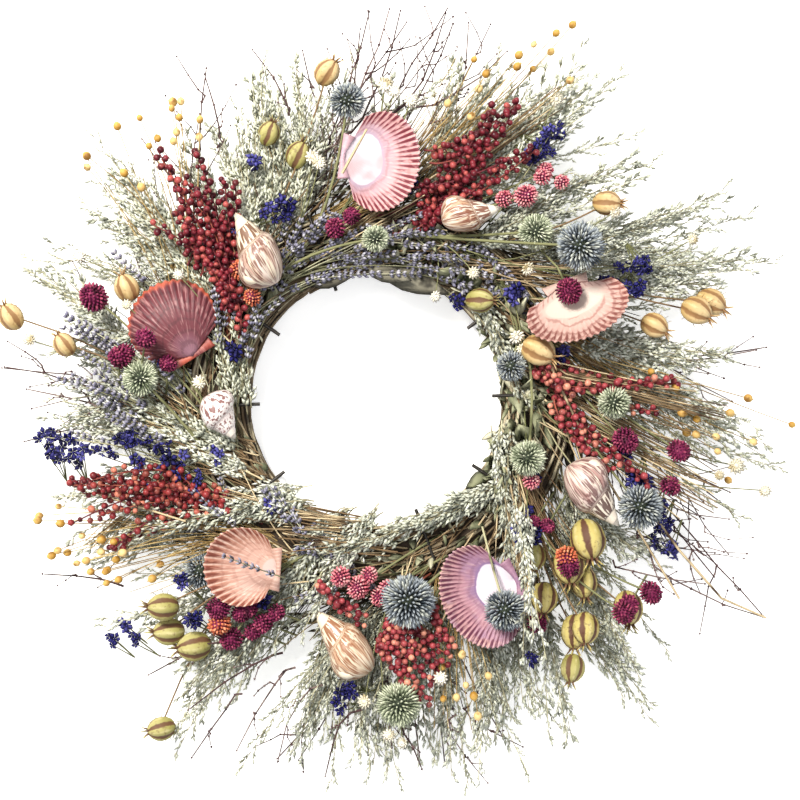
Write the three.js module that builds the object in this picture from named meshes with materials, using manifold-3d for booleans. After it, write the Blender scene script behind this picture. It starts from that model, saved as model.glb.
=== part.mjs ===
// A round wreath of dried flowers, herbs, seed heads and seashells.
// Millimetres and degrees. The wreath lies on its back with its face up (+Z).
// Places are counted from the middle of its hole: x to the right, y towards its top, z from its back.

import * as THREE from 'three';
import { ConvexGeometry } from 'three/addons/geometries/ConvexGeometry.js';
import { mergeVertices } from 'three/addons/utils/BufferGeometryUtils.js';
import Module from 'manifold-3d';

const wasm = await Module();
wasm.setup();

// Driving dimensions
const GAP = 0.3; // air between two pieces that lie on each other
const SLACK = 0.12; // how far a joined bunch's faces may move when its slivers are taken out
const RING = {
  radius: 122,
  halfWidth: 25,
  bottom: 4.2,
  top: 44,
  strands: 5,
  strandDepth: 2.2,
  steps: 28,
  pitch: 12,
};
const WIRE = { radius: 120, halfSide: 1.8, steps: 24 };
const CLAMP = {
  count: 10,
  firstAngle: 2,
  halfSide: 1.3,
  innerRadius: 94.6,
  outerRadius: 149.2,
  tipRadius: 87,
};
const KNOT = { length: 17, radius: 6.6 }; // where the stems of a bunch are tied together
const ROOT_SPREAD = 2.2; // how far the stems lie from the middle of their tie
const MIDDLE_HEIGHT = (RING.bottom + RING.top) / 2;
const FALL = 60; // how far a piece that lies on others may come down from its nominal height
const COVER = 90; // the height above a shell that other pieces leave free

const UP = new THREE.Vector3(0, 0, 1);
const vec = ([x, y, z]) => new THREE.Vector3(x, y, z);
const radians = THREE.MathUtils.degToRad;

// A number from 0 to 1 that looks random and is the same every time
function chance(seed) {
  const value = Math.sin(seed * 12.9898) * 43758.5453;
  return value - Math.floor(value);
}

function polar(angle, radius, height) {
  return new THREE.Vector3(radius * Math.cos(radians(angle)), radius * Math.sin(radians(angle)), height);
}

// The way clockwise round the ring, which every stem follows
function clockwise(place) {
  return new THREE.Vector3(place.y, -place.x, 0).normalize();
}

// A solid made of a geometry's triangles
function solidOf(geometry) {
  const plain = new THREE.BufferGeometry().copy(geometry);
  for (const name of Object.keys(plain.attributes)) {
    if (name !== 'position') plain.deleteAttribute(name);
  }
  const merged = mergeVertices(plain, 1e-4);
  const solid = new wasm.Manifold(new wasm.Mesh({
    numProp: 3,
    vertProperties: new Float32Array(merged.attributes.position.array),
    triVerts: new Uint32Array(merged.index.array),
  }));
  return solid;
}

function joined(solids) {
  return solids.length === 1 ? solids[0] : wasm.Manifold.union(solids);
}

// The largest of the bodies that a join leaves
function oneBody(solid) {
  const bodies = solid.decompose();
  bodies.sort((a, b) => b.volume() - a.volume());
  return bodies[0];
}

function fill(geometry, spots, faces) {
  const numbers = spots.flatMap((spot) => spot.toArray());
  geometry.setAttribute('position', new THREE.Float32BufferAttribute(numbers, 3));
  geometry.setIndex(faces.flat());
  return geometry;
}

function geometryOf(spots, faces) {
  return fill(new THREE.BufferGeometry(), spots, faces);
}

// A stem along a curve, with flat sides. raise(step, side) says what grows from a side:
// nothing, a leaf with its reach and lean, or a bead with its size.
class StemGeometry extends THREE.BufferGeometry {
  constructor(curve, { stops, radius, sides = 3, twist = 0.6, raise = () => null }) {
    super();
    const spots = [];
    const faces = [];
    const rings = stops.length - 1;
    let normal = new THREE.Vector3();
    for (let i = 0; i < rings; i += 1) {
      const centre = curve.getPointAt(stops[i]);
      const tangent = curve.getTangentAt(stops[i]);
      const guide = i === 0 ? UP : normal;
      normal = guide.clone().addScaledVector(tangent, -guide.dot(tangent)).normalize();
      const side = new THREE.Vector3().crossVectors(tangent, normal);
      for (let j = 0; j < sides; j += 1) {
        const turn = (2 * Math.PI * j) / sides + twist * i;
        const out = normal.clone().multiplyScalar(Math.cos(turn)).addScaledVector(side, Math.sin(turn));
        spots.push(centre.clone().addScaledVector(out, radius(stops[i])));
      }
    }
    const tip = spots.push(curve.getPointAt(1)) - 1;
    for (let j = 1; j < sides - 1; j += 1) faces.push([0, j + 1, j]);
    for (let i = 0; i < rings - 1; i += 1) {
      const tangent = curve.getTangentAt((stops[i] + stops[i + 1]) / 2);
      const centre = curve.getPointAt((stops[i] + stops[i + 1]) / 2);
      for (let j = 0; j < sides; j += 1) {
        const next = (j + 1) % sides;
        const corners = [i * sides + j, i * sides + next, (i + 1) * sides + next, (i + 1) * sides + j];
        StemGeometry.addSide(spots, faces, corners, centre, tangent, raise(i, j));
      }
    }
    const last = (rings - 1) * sides;
    for (let j = 0; j < sides; j += 1) faces.push([last + j, last + ((j + 1) % sides), tip]);
    fill(this, spots, faces);
  }

  static addSide(spots, faces, corners, centre, tangent, growth) {
    const [a, b, c, d] = corners;
    if (!growth) {
      faces.push([a, b, c], [a, c, d]);
      return;
    }
    const middle = new THREE.Vector3();
    for (const corner of corners) middle.addScaledVector(spots[corner], 0.25);
    const out = middle.clone().sub(centre);
    out.addScaledVector(tangent, -out.dot(tangent)).normalize();
    let base = corners;
    let height = growth.reach * Math.cos(growth.lean ?? 0);
    if (growth.bead) {
      const across = new THREE.Vector3().crossVectors(tangent, out);
      const half = 0.44 * growth.bead;
      base = [[-half, -half], [-half, half], [half, half], [half, -half]].map(([u, v]) => {
        const corner = middle.clone().addScaledVector(out, 0.5 * growth.bead);
        return spots.push(corner.addScaledVector(tangent, u).addScaledVector(across, v)) - 1;
      });
      for (let k = 0; k < 4; k += 1) {
        const n = (k + 1) % 4;
        faces.push([corners[k], corners[n], base[n]], [corners[k], base[n], base[k]]);
      }
      height = growth.bead;
    }
    const lean = growth.bead ? 0 : growth.reach * Math.sin(growth.lean ?? 0);
    const peak = spots.push(middle.addScaledVector(out, height).addScaledVector(tangent, lean)) - 1;
    for (let k = 0; k < 4; k += 1) faces.push([base[k], base[(k + 1) % 4], peak]);
  }
}

// A stem leaves its root clockwise along the ring and bends outwards to its tip
function sweep(root, tip, bow = 0.35) {
  const middle = root.clone().addScaledVector(clockwise(root), bow * root.distanceTo(tip));
  middle.z = 0.45 * root.z + 0.55 * tip.z + 3;
  return new THREE.QuadraticBezierCurve3(root, middle, tip);
}

const taper = (start, end) => (t) => start + (end - start) * t;

// Artemisia: a plume of narrow leaves that lean forwards
function artemisia(root, tip, bow) {
  const curve = sweep(root, tip, bow);
  const length = curve.getLength();
  const reach = (i) => Math.min(27, 0.17 * length) * (1.12 - 0.13 * i);
  const raise = (i, j) => {
    if (i < 2) return null;
    return { reach: reach(i) * (0.8 + 0.35 * chance(i * 3 + j)), lean: 0.95 };
  };
  const stops = [0, 0.24, 0.48, 0.66, 0.82, 0.94, 1];
  return solidOf(new StemGeometry(curve, { stops, radius: taper(1.5, 0.8), raise }));
}

// A bare twig with a few side shoots
function twig(root, tip, bow) {
  const curve = sweep(root, tip, bow);
  const raise = (i, j) => (i < 1 || j !== (i * 2) % 3 ? null : { reach: 34 - 4 * i, lean: 0.9 });
  const stops = [0, 0.3, 0.5, 0.68, 0.85, 1];
  return solidOf(new StemGeometry(curve, { stops, radius: taper(1.7, 0.7), raise }));
}

// A bare stem that ends in a spike of short buds or florets
function spike(root, tip, bow, { length, reach, thick }) {
  const curve = sweep(root, tip, bow);
  const start = 1 - length / curve.getLength();
  const stops = [0, 0.5 * start, start, start + 0.36 * (1 - start), start + 0.7 * (1 - start), 1];
  const raise = (i) => (i < 2 ? null : { reach, lean: 0.5 });
  const radius = (t) => (t < start ? 1 : thick);
  return solidOf(new StemGeometry(curve, { stops, radius, raise, twist: 0.9 }));
}
const lavender = (root, tip, bow) => spike(root, tip, bow, { length: 34, reach: 4.2, thick: 1.8 });
const larkspur = (root, tip, bow) => spike(root, tip, bow, { length: 42, reach: 9, thick: 2 });

// Pepper berries: beads all round the end of a stalk
const BOLL = 3.8; // radius of a flax boll
const BERRY = 6.4;
const BERRY_ROWS = 4;
function pepperberries(root, tip, bow) {
  const curve = sweep(root, tip, bow);
  const row = (1.12 * BERRY) / curve.getLength();
  const stops = [0, 0.5 * (1 - row * (BERRY_ROWS + 0.5))];
  for (let i = 0; i <= BERRY_ROWS; i += 1) stops.push(1 - row * (BERRY_ROWS + 0.5 - i));
  stops.push(1);
  const raise = (i) => {
    if (i < 2 || i >= 2 + BERRY_ROWS) return null;
    return { bead: BERRY * (0.86 + 0.14 * chance(i)) };
  };
  return solidOf(new StemGeometry(curve, { stops, radius: taper(1.6, 1.3), raise, twist: 1.05 }));
}

// A plain stem that carries a head
function stalk(root, tip, bow, thickness = 1.3) {
  const radius = taper(thickness, 0.7 * thickness);
  return solidOf(new StemGeometry(sweep(root, tip, bow), { stops: [0, 0.3, 0.62, 1], radius }));
}

// Every face of a closed form raised to a point
function spiky(geometry, { base, tip, place }) {
  const plain = geometry.clone();
  plain.deleteAttribute('normal');
  plain.deleteAttribute('uv');
  const round = mergeVertices(plain, 1e-4);
  const source = round.attributes.position;
  const put = (direction, radius) => direction.clone().normalize().multiplyScalar(radius).add(place);
  const spots = [];
  const faces = [];
  for (let i = 0; i < source.count; i += 1) {
    spots.push(put(new THREE.Vector3().fromBufferAttribute(source, i), base));
  }
  for (let i = 0; i < round.index.count; i += 3) {
    const face = [0, 1, 2].map((k) => round.index.getX(i + k));
    const middle = new THREE.Vector3();
    for (const k of face) middle.add(new THREE.Vector3().fromBufferAttribute(source, k));
    const peak = spots.push(put(middle, tip)) - 1;
    for (let k = 0; k < 3; k += 1) faces.push([face[k], face[(k + 1) % 3], peak]);
  }
  return solidOf(geometryOf(spots, faces));
}

// Points spread evenly over a ball, as seeds pack on a head
function evenBall(count) {
  const points = [];
  for (let i = 0; i < count; i += 1) {
    const height = 1 - (2 * (i + 0.5)) / count;
    const turn = i * Math.PI * (3 - Math.sqrt(5));
    const radius = Math.sqrt(1 - height * height);
    points.push(new THREE.Vector3(radius * Math.cos(turn), radius * Math.sin(turn), height));
  }
  return new ConvexGeometry(points);
}

function thistleHead(place, size) {
  return spiky(evenBall(size > 15 ? 26 : 22), { base: 0.74 * size, tip: size * 1.02, place });
}

function amaranthHead(place, size) {
  return spiky(new THREE.IcosahedronGeometry(1, 0), { base: 0.84 * size, tip: size * 1.06, place });
}

// A small everlasting: a flat star of petals
function starHead(place, size) {
  const petals = 7;
  const spots = [new THREE.Vector3(0, 0, -2.2), new THREE.Vector3(0, 0, 2.6)];
  const faces = [];
  for (let i = 0; i < 2 * petals; i += 1) {
    spots.push(polar((180 * i) / petals, i % 2 ? 0.6 * size : size, 0.8));
    const next = 2 + ((i + 1) % (2 * petals));
    faces.push([0, next, 2 + i], [1, 2 + i, next]);
  }
  return solidOf(geometryOf(spots.map((p) => p.add(place)), faces));
}

// A love-in-a-mist pod: five swollen lobes and five horns
const LOBES = 5;
function pod(place, size, axis) {
  const turn = new THREE.Quaternion().setFromUnitVectors(UP, axis);
  const profile = [[0.9, -0.5], [0.86, 0.42]];
  const sides = 2 * LOBES;
  const spots = [new THREE.Vector3(0, 0, -size)];
  const faces = [];
  for (const [radius, height] of profile) {
    for (let j = 0; j < sides; j += 1) {
      const lobe = size * radius * (j % 2 ? 0.8 : 1);
      spots.push(polar((360 * j) / sides, lobe, height * size));
    }
  }
  const crown = spots.push(new THREE.Vector3(0, 0, 0.86 * size)) - 1;
  const at = (row, j) => 1 + row * sides + (j % sides);
  for (let j = 0; j < sides; j += 1) {
    faces.push([0, at(0, j + 1), at(0, j)]);
    for (let row = 0; row < profile.length - 1; row += 1) {
      faces.push([at(row, j), at(row, j + 1), at(row + 1, j + 1)]);
      faces.push([at(row, j), at(row + 1, j + 1), at(row + 1, j)]);
    }
    if (j % 2) {
      faces.push([at(1, j), at(1, j + 1), crown]);
    } else {
      const horn = spots.push(polar((360 * (j + 0.5)) / sides, 0.62 * size, 1.55 * size)) - 1;
      faces.push([at(1, j), at(1, j + 1), horn], [at(1, j + 1), crown, horn], [crown, at(1, j), horn]);
    }
  }
  return solidOf(geometryOf(spots.map((p) => p.applyQuaternion(turn).add(place)), faces));
}

// A scallop valve: a thin ribbed dome that opens from its hinge, with two ears.
// The hinge is at the origin, the valve opens along +Y and its dome rises along +Z.
// Its rim is an oval, as long as its size and twice `wide` sizes across.
const SCALLOP = { ribs: 8, thickness: 1.6, halfFan: 68, dome: 0.19, rib: 0.018, rows: [0.5, 1] };
function scallop(size, wide) {
  const spans = 2 * SCALLOP.ribs;
  const spots = [];
  const faces = [];
  const spotAt = (share, i) => {
    const angle = radians(SCALLOP.halfFan) * (2 * (i / spans) - 1);
    const [cos, sin] = [Math.cos(angle), Math.sin(angle)];
    const oval = (wide ** 2 * cos) / (wide ** 2 * cos ** 2 + 0.25 * sin ** 2);
    const reach = size * oval * share * (i % 2 ? 1.02 : 1);
    const across = 1 - 0.7 * (2 * (i / spans) - 1) ** 2;
    const dome = SCALLOP.dome * size * (1 - share ** 2) * (0.25 + 2.2 * share) * across;
    const rib = i % 2 ? SCALLOP.rib * size * share : -SCALLOP.rib * size * share;
    return new THREE.Vector3(reach * sin, reach * cos, dome + rib);
  };
  const layer = (lift) => {
    const start = spots.length;
    spots.push(new THREE.Vector3(0, 0, SCALLOP.dome * size * 0.25 + lift));
    for (const share of SCALLOP.rows) {
      for (let i = 0; i <= spans; i += 1) spots.push(spotAt(share, i).add(new THREE.Vector3(0, 0, lift)));
    }
    return (row, i) => (row < 0 ? start : start + 1 + row * (spans + 1) + i);
  };
  const under = layer(0);
  const over = layer(SCALLOP.thickness);
  const last = SCALLOP.rows.length - 1;
  const both = (a, b, c) => {
    faces.push([over(...a), over(...b), over(...c)], [under(...c), under(...b), under(...a)]);
  };
  for (let i = 0; i < spans; i += 1) {
    both([-1, 0], [0, i + 1], [0, i]);
    for (let row = 0; row < last; row += 1) {
      both([row, i], [row, i + 1], [row + 1, i + 1]);
      both([row, i], [row + 1, i + 1], [row + 1, i]);
    }
    faces.push([over(last, i), over(last, i + 1), under(last, i + 1)]);
    faces.push([over(last, i), under(last, i + 1), under(last, i)]);
  }
  for (let row = -1; row < last; row += 1) {
    faces.push([under(row, 0), over(row, 0), over(row + 1, 0)]);
    faces.push([under(row, 0), over(row + 1, 0), under(row + 1, 0)]);
    faces.push([under(row, spans), over(row + 1, spans), over(row, spans)]);
    faces.push([under(row, spans), under(row + 1, spans), over(row + 1, spans)]);
  }
  const geometry = geometryOf(spots, faces);
  const earShape = new THREE.Shape([
    [-0.3, -0.03], [0.3, -0.03], [0.27, 0.12], [0.06, 0.03], [-0.06, 0.03], [-0.27, 0.12],
  ].map(([x, y]) => new THREE.Vector2(x * size, y * size)));
  const ears = new THREE.ExtrudeGeometry(earShape, { depth: SCALLOP.thickness, bevelEnabled: false });
  ears.translate(0, 0, 0.03 * size);
  const valve = solidOf(geometry);
  return oneBody(joined([valve, solidOf(ears)]));
}

// A snail shell: whorls that grow from the tip along +Z, each with a suture and a bulge, and an open mouth
const SNAIL = {
  growth: 2.1,
  suture: { radius: 0.46, height: 1 },
  bulge: { radius: 0.59, height: 1.2 },
  belly: { radius: 0.6, height: 1.36 },
  foot: 1.75,
};
function snail(length, turns, sides, width) {
  const end = turns * sides;
  const unit = length / (SNAIL.foot * SNAIL.growth ** turns);
  const grown = (k) => unit * SNAIL.growth ** (k / sides);
  const around = (k, { radius, height }) => new THREE.Vector3(
    width * radius * grown(k) * Math.cos((2 * Math.PI * k) / sides),
    width * radius * grown(k) * Math.sin((2 * Math.PI * k) / sides),
    height * grown(k),
  );
  const spots = [];
  const faces = [];
  for (let k = 0; k <= end; k += 1) spots.push(around(k, SNAIL.suture));
  for (let k = 0; k <= end; k += 1) spots.push(around(k, SNAIL.bulge));
  for (let k = end - sides; k <= end; k += 1) spots.push(around(k, SNAIL.belly));
  const suture = (k) => k;
  const bulge = (k) => end + 1 + k;
  const belly = (k) => 2 * (end + 1) + k - (end - sides);
  const apex = spots.push(new THREE.Vector3(0, 0, 0.45 * unit)) - 1;
  const foot = spots.push(new THREE.Vector3(0, 0, length)) - 1;
  for (let k = 0; k < end; k += 1) {
    faces.push([suture(k), bulge(k + 1), bulge(k)], [suture(k), suture(k + 1), bulge(k + 1)]);
    if (k < sides) faces.push([apex, suture(k + 1), suture(k)]);
    if (k < end - sides) {
      faces.push([bulge(k), suture(k + 1 + sides), suture(k + sides)]);
      faces.push([bulge(k), bulge(k + 1), suture(k + 1 + sides)]);
    } else {
      faces.push([bulge(k), belly(k + 1), belly(k)], [bulge(k), bulge(k + 1), belly(k + 1)]);
      faces.push([belly(k), belly(k + 1), foot]);
    }
  }
  faces.push([apex, bulge(0), suture(sides)], [apex, suture(0), bulge(0)]);
  const lip = [belly(end - sides), bulge(end - sides), suture(end), bulge(end), belly(end), foot];
  const middle = new THREE.Vector3();
  for (const corner of lip) middle.addScaledVector(spots[corner], 1 / lip.length);
  const inward = UP.clone().cross(new THREE.Vector3(middle.x, middle.y, 0)).normalize();
  const deep = 0.1 * length;
  const inner = lip.map((corner) => {
    const edge = spots[corner].clone().lerp(middle, 0.3);
    return spots.push(edge.addScaledVector(inward, -0.4 * deep)) - 1;
  });
  const throat = spots.push(middle.clone().addScaledVector(inward, -deep)) - 1;
  for (let k = 0; k < lip.length; k += 1) {
    const n = (k + 1) % lip.length;
    faces.push([lip[k], inner[n], lip[n]], [lip[k], inner[k], inner[n]], [inner[k], throat, inner[n]]);
  }
  return solidOf(geometryOf(spots, faces));
}

// The wire ring and its clamps, welded together
function wireFrame() {
  const side = WIRE.halfSide;
  const ring = new THREE.LatheGeometry([
    new THREE.Vector2(WIRE.radius - side, 0),
    new THREE.Vector2(WIRE.radius + side, 0),
    new THREE.Vector2(WIRE.radius, 1.9 * side),
    new THREE.Vector2(WIRE.radius - side, 0),
  ], WIRE.steps);
  ring.rotateX(Math.PI / 2);
  const pieces = [solidOf(ring)];
  const low = CLAMP.halfSide + 0.2;
  const high = RING.top + GAP + CLAMP.halfSide;
  const route = [
    [CLAMP.innerRadius - 2 * CLAMP.halfSide, high - 10],
    [CLAMP.innerRadius - CLAMP.halfSide, low],
    [CLAMP.outerRadius, low],
    [CLAMP.outerRadius, high],
    [CLAMP.tipRadius, high + 0.6],
  ];
  for (let i = 0; i < CLAMP.count; i += 1) {
    pieces.push(clampWire(route, CLAMP.firstAngle + (i * 360) / CLAMP.count));
  }
  return joined(pieces);
}

// One three-sided wire bent in an upright plane through the middle of the hole
function clampWire(route, angle) {
  const half = CLAMP.halfSide;
  const spots = [];
  const faces = [];
  route.forEach(([radius, height], i) => {
    const before = route[Math.max(0, i - 1)];
    const after = route[Math.min(route.length - 1, i + 1)];
    const way = (a, b) => new THREE.Vector2(b[0] - a[0], b[1] - a[1]).normalize();
    const first = way(before, i === 0 ? after : route[i]);
    const second = way(i === route.length - 1 ? before : route[i], after);
    const along = first.clone().add(second).normalize();
    const spread = half / Math.max(0.5, along.dot(i === 0 ? second : first));
    const out = new THREE.Vector2(-along.y, along.x).multiplyScalar(spread);
    for (const [u, v] of [[-1, 0], [1, 1], [1, -1]]) {
      const corner = new THREE.Vector3(radius + u * out.x, v * half, height + u * out.y);
      spots.push(corner.applyAxisAngle(UP, radians(angle)));
    }
  });
  for (let i = 0; i < route.length - 1; i += 1) {
    for (let j = 0; j < 3; j += 1) {
      const [a, b] = [i * 3 + j, i * 3 + ((j + 1) % 3)];
      faces.push([a, b, b + 3], [a, b + 3, a + 3]);
    }
  }
  const end = 3 * (route.length - 1);
  faces.push([0, 2, 1], [end, end + 1, end + 2]);
  return solidOf(geometryOf(spots, faces));
}

// The bound stems: a thick ring of strands that turn round it like a rope
function stemRing() {
  const sides = 2 * RING.strands;
  const half = [RING.halfWidth, (RING.top - RING.bottom) / 2];
  const spots = [];
  const faces = [];
  for (let i = 0; i < RING.steps; i += 1) {
    for (let j = 0; j < sides; j += 1) {
      const turn = (2 * Math.PI * (j + (i * RING.pitch) / RING.steps)) / sides;
      const groove = j % 2 ? RING.strandDepth : 0;
      const flat = Math.max(Math.abs(Math.cos(turn)), Math.abs(Math.sin(turn))) ** 0.35;
      const across = ((half[0] - groove) * Math.cos(turn)) / flat;
      const up = ((half[1] - groove) * Math.sin(turn)) / flat;
      const bounded = new THREE.Vector2(
        THREE.MathUtils.clamp(across, -half[0], half[0]),
        THREE.MathUtils.clamp(up, -half[1], half[1]),
      );
      spots.push(polar((360 * i) / RING.steps, RING.radius + bounded.x, MIDDLE_HEIGHT + bounded.y));
    }
  }
  for (let i = 0; i < RING.steps; i += 1) {
    for (let j = 0; j < sides; j += 1) {
      const shift = i === RING.steps - 1 ? RING.pitch : 0;
      const n = (i + 1) % RING.steps;
      const [a, b] = [i * sides + j, i * sides + ((j + 1) % sides)];
      const [c, d] = [n * sides + ((j + 1 + shift) % sides), n * sides + ((j + shift) % sides)];
      faces.push([a, c, b], [a, d, c]);
    }
  }
  return solidOf(geometryOf(spots, faces));
}

// Pieces that are in their place, and the room above heads and shells that stays free
const blockers = [];
const nodes = [];

function block(solid) {
  blockers.push({ solid, box: solid.boundingBox() });
}

function gapTo(solid, others, reach) {
  const box = solid.boundingBox();
  let gap = reach;
  for (const other of others) {
    const apart = [0, 1, 2].some((k) => (
      other.box.min[k] - box.max[k] > gap || box.min[k] - other.box.max[k] > gap
    ));
    if (!apart) gap = Math.min(gap, solid.minGap(other.solid, gap));
    if (gap <= 0) return 0;
  }
  return gap;
}

function addNode(name, look, solid) {
  nodes.push({ name, look, solid });
  block(solid);
}

// The room over a solid that other pieces don't enter
function roomOver(solid) {
  return wasm.Manifold.hull([solid, solid.translate([0, 0, COVER])]);
}

// Ways to bend a stem clear, the smallest first: its tip lifted, and turned round the middle of the hole
const BENDS = [];
for (const lift of [0, 4, -4, 8, 13, -9, 19, 26, 34, 43]) {
  for (const turn of [0, 2, -2, 4, -4, 7, -7, 10, -10]) {
    for (const bow of [0.35, 0.2, 0.5]) {
      const cost = Math.abs(lift) + 1.6 * Math.abs(turn) + 12 * Math.abs(bow - 0.35);
      BENDS.push({ lift, turn, bow, cost });
    }
  }
}
BENDS.sort((a, b) => a.cost - b.cost);

// The part of a stem that is past the tie it grows from
function pastTie(solid, tie) {
  const ahead = clockwise(tie);
  return solid.trimByPlane(ahead.toArray(), ahead.dot(tie) + 1.1 * KNOT.length);
}

// Places a stem without touching anything, and clear of the other stems of its bunch where it can be
function bendClear(make, root, tip, tie, siblings) {
  let fallback = null;
  for (const { lift, turn, bow } of BENDS) {
    const bent = tip.clone().applyAxisAngle(UP, radians(turn));
    bent.z = Math.max(8, bent.z + lift);
    const solid = make(root, bent, bow);
    if (gapTo(solid, blockers, GAP + 0.02) >= GAP) {
      const outer = pastTie(solid, tie);
      const box = outer.boundingBox();
      if (gapTo(outer, siblings, GAP) >= GAP) {
        siblings.push({ solid: outer, box });
        return solid;
      }
      fallback = fallback ?? { solid, outer, box };
    } else {
      solid.delete();
    }
  }
  if (!fallback) return null;
  siblings.push({ solid: fallback.outer, box: fallback.box });
  return fallback.solid;
}

// Where a bunch is tied on: the way in from outside the ring's section, until it lies on it
function seat(angle, around, probe, others) {
  const start = RING.halfWidth + 22;
  const inward = new THREE.Vector3().copy(polar(angle, -Math.cos(radians(around)), 0));
  inward.z = -Math.sin(radians(around));
  const centre = polar(angle, RING.radius, MIDDLE_HEIGHT).addScaledVector(inward, -start);
  let knot = probe(centre);
  let moved = 0;
  for (let i = 0; i < 60 && moved < start; i += 1) {
    const gap = gapTo(knot, others, 30);
    if (gap < GAP + 0.08) {
      if (gap < GAP) moved = -1;
      break;
    }
    const step = gap - GAP;
    moved += step;
    knot = knot.translate(inward.clone().multiplyScalar(step).toArray());
  }
  return { knot, centre: centre.addScaledVector(inward, moved), moved };
}

// A tie of stems, drawn out along the ring
function knotAt(centre) {
  const geometry = new THREE.OctahedronGeometry(1, 0);
  geometry.scale(KNOT.length, KNOT.radius, KNOT.radius);
  geometry.rotateZ(Math.atan2(clockwise(centre).y, clockwise(centre).x));
  geometry.translate(centre.x, centre.y, centre.z);
  return solidOf(geometry);
}

// A bunch: a tie on the ring, and stems from it to their tips
function bunch(name, look, { angle, around = 90 }, tips, make) {
  let best = null;
  for (const slide of [0, 3, -3, 6, -6, 9, -9]) {
    for (const roll of [0, 8, -8, 16, -16]) {
      const found = seat(angle + slide, around + roll, knotAt, blockers);
      if (!best || found.moved > best.moved + 4) best = found;
    }
  }
  const parts = [best.knot];
  const siblings = [];
  tips.forEach((tip, i) => {
    const root = best.centre.clone().addScaledVector(clockwise(best.centre), (i % 3) * 3 - 3);
    root.z += (i % 2 ? 1 : -1) * ROOT_SPREAD;
    const outwards = new THREE.Vector3(root.x, root.y, 0).normalize();
    root.addScaledVector(outwards, (i % 4 < 2 ? 1 : -1) * ROOT_SPREAD);
    const shape = (start, end, bow) => make(start, end, bow, tip);
    const stem = bendClear(shape, root, vec(tip), best.centre, siblings);
    if (stem) parts.push(stem);
  });
  addNode(name, look, oneBody(joined(parts).simplify(SLACK)));
}

// Heads on stalks that share one tie, each with room over it
function heads(name, look, seatAt, places, headSolid, thickness) {
  bunch(name, look, seatAt, places, (root, tip, bow, place) => oneBody(joined([
    headSolid(tip, place[3]),
    stalk(root, tip, bow, thickness),
  ])));
}

// A shell is laid down from above until it touches what is under it
function layDown(name, look, solid, limit) {
  let moved = 0;
  let now = solid;
  for (let i = 0; i < 80 && moved < limit; i += 1) {
    const gap = gapTo(now, blockers, 25);
    if (gap < GAP + 0.06) break;
    now = now.translate([0, 0, GAP - gap]);
    moved += gap - GAP;
  }
  addNode(name, look, now);
}

function placed(solid, matrix) {
  return solid.transform(matrix.elements);
}

// A scallop's place: its middle, the way that it opens, its tilt, and whether its inside shows
function scallopAt({ at, size, wide, opens, tilt = 0, inside }) {
  const matrix = new THREE.Matrix4().makeTranslation(...at)
    .multiply(new THREE.Matrix4().makeRotationZ(radians(opens - 90)))
    .multiply(new THREE.Matrix4().makeRotationX(radians(tilt)))
    .multiply(new THREE.Matrix4().makeRotationY(inside ? Math.PI : 0))
    .multiply(new THREE.Matrix4().makeTranslation(0, -0.5 * size, -0.1 * size));
  return placed(scallop(size, wide), matrix);
}

// A snail shell's place: the middle, and the way from its tip to its foot; its mouth faces down
function snailAt({ at, length, turns, sides, width, points }) {
  const axis = new THREE.Vector3(Math.cos(radians(points)), Math.sin(radians(points)), 0);
  const facing = new THREE.Quaternion().setFromUnitVectors(UP, axis);
  const matrix = new THREE.Matrix4().makeTranslation(...at)
    .multiply(new THREE.Matrix4().makeRotationFromQuaternion(facing))
    .multiply(new THREE.Matrix4().makeRotationZ(radians(points - 90)))
    .multiply(new THREE.Matrix4().makeTranslation(0, 0, -0.55 * length));
  return placed(snail(length, turns, sides, width), matrix);
}

// Colours and finishes
const LOOKS = {
  wire: { color: 0x2b2a2a, roughness: 0.55, metalness: 0.8 },
  boundStems: { color: 0x5d4a35, roughness: 0.95 },
  artemisia: { color: 0xa9ad94, roughness: 0.95 },
  twig: { color: 0x4a3634, roughness: 0.9 },
  pepperberry: { color: 0xa03238, roughness: 0.6 },
  flax: { color: 0xc79a4a, roughness: 0.7 },
  pod: { color: 0xb59a55, roughness: 0.75 },
  thistle: { color: 0x7d8fa6, roughness: 0.85 },
  amaranth: { color: 0x7a1f4a, roughness: 0.85 },
  pink: { color: 0xd96f72, roughness: 0.85 },
  lavender: { color: 0x7f7c93, roughness: 0.9 },
  larkspur: { color: 0x2c2a80, roughness: 0.85 },
  white: { color: 0xefe8d2, roughness: 0.85 },
  scallopPink: { color: 0xd79a94, roughness: 0.45 },
  scallopRed: { color: 0xa05550, roughness: 0.5 },
  scallopPeach: { color: 0xe3a284, roughness: 0.45 },
  snailStriped: { color: 0xd9b493, roughness: 0.4 },
  snailSpotted: { color: 0xe9ded6, roughness: 0.4 },
};

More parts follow.
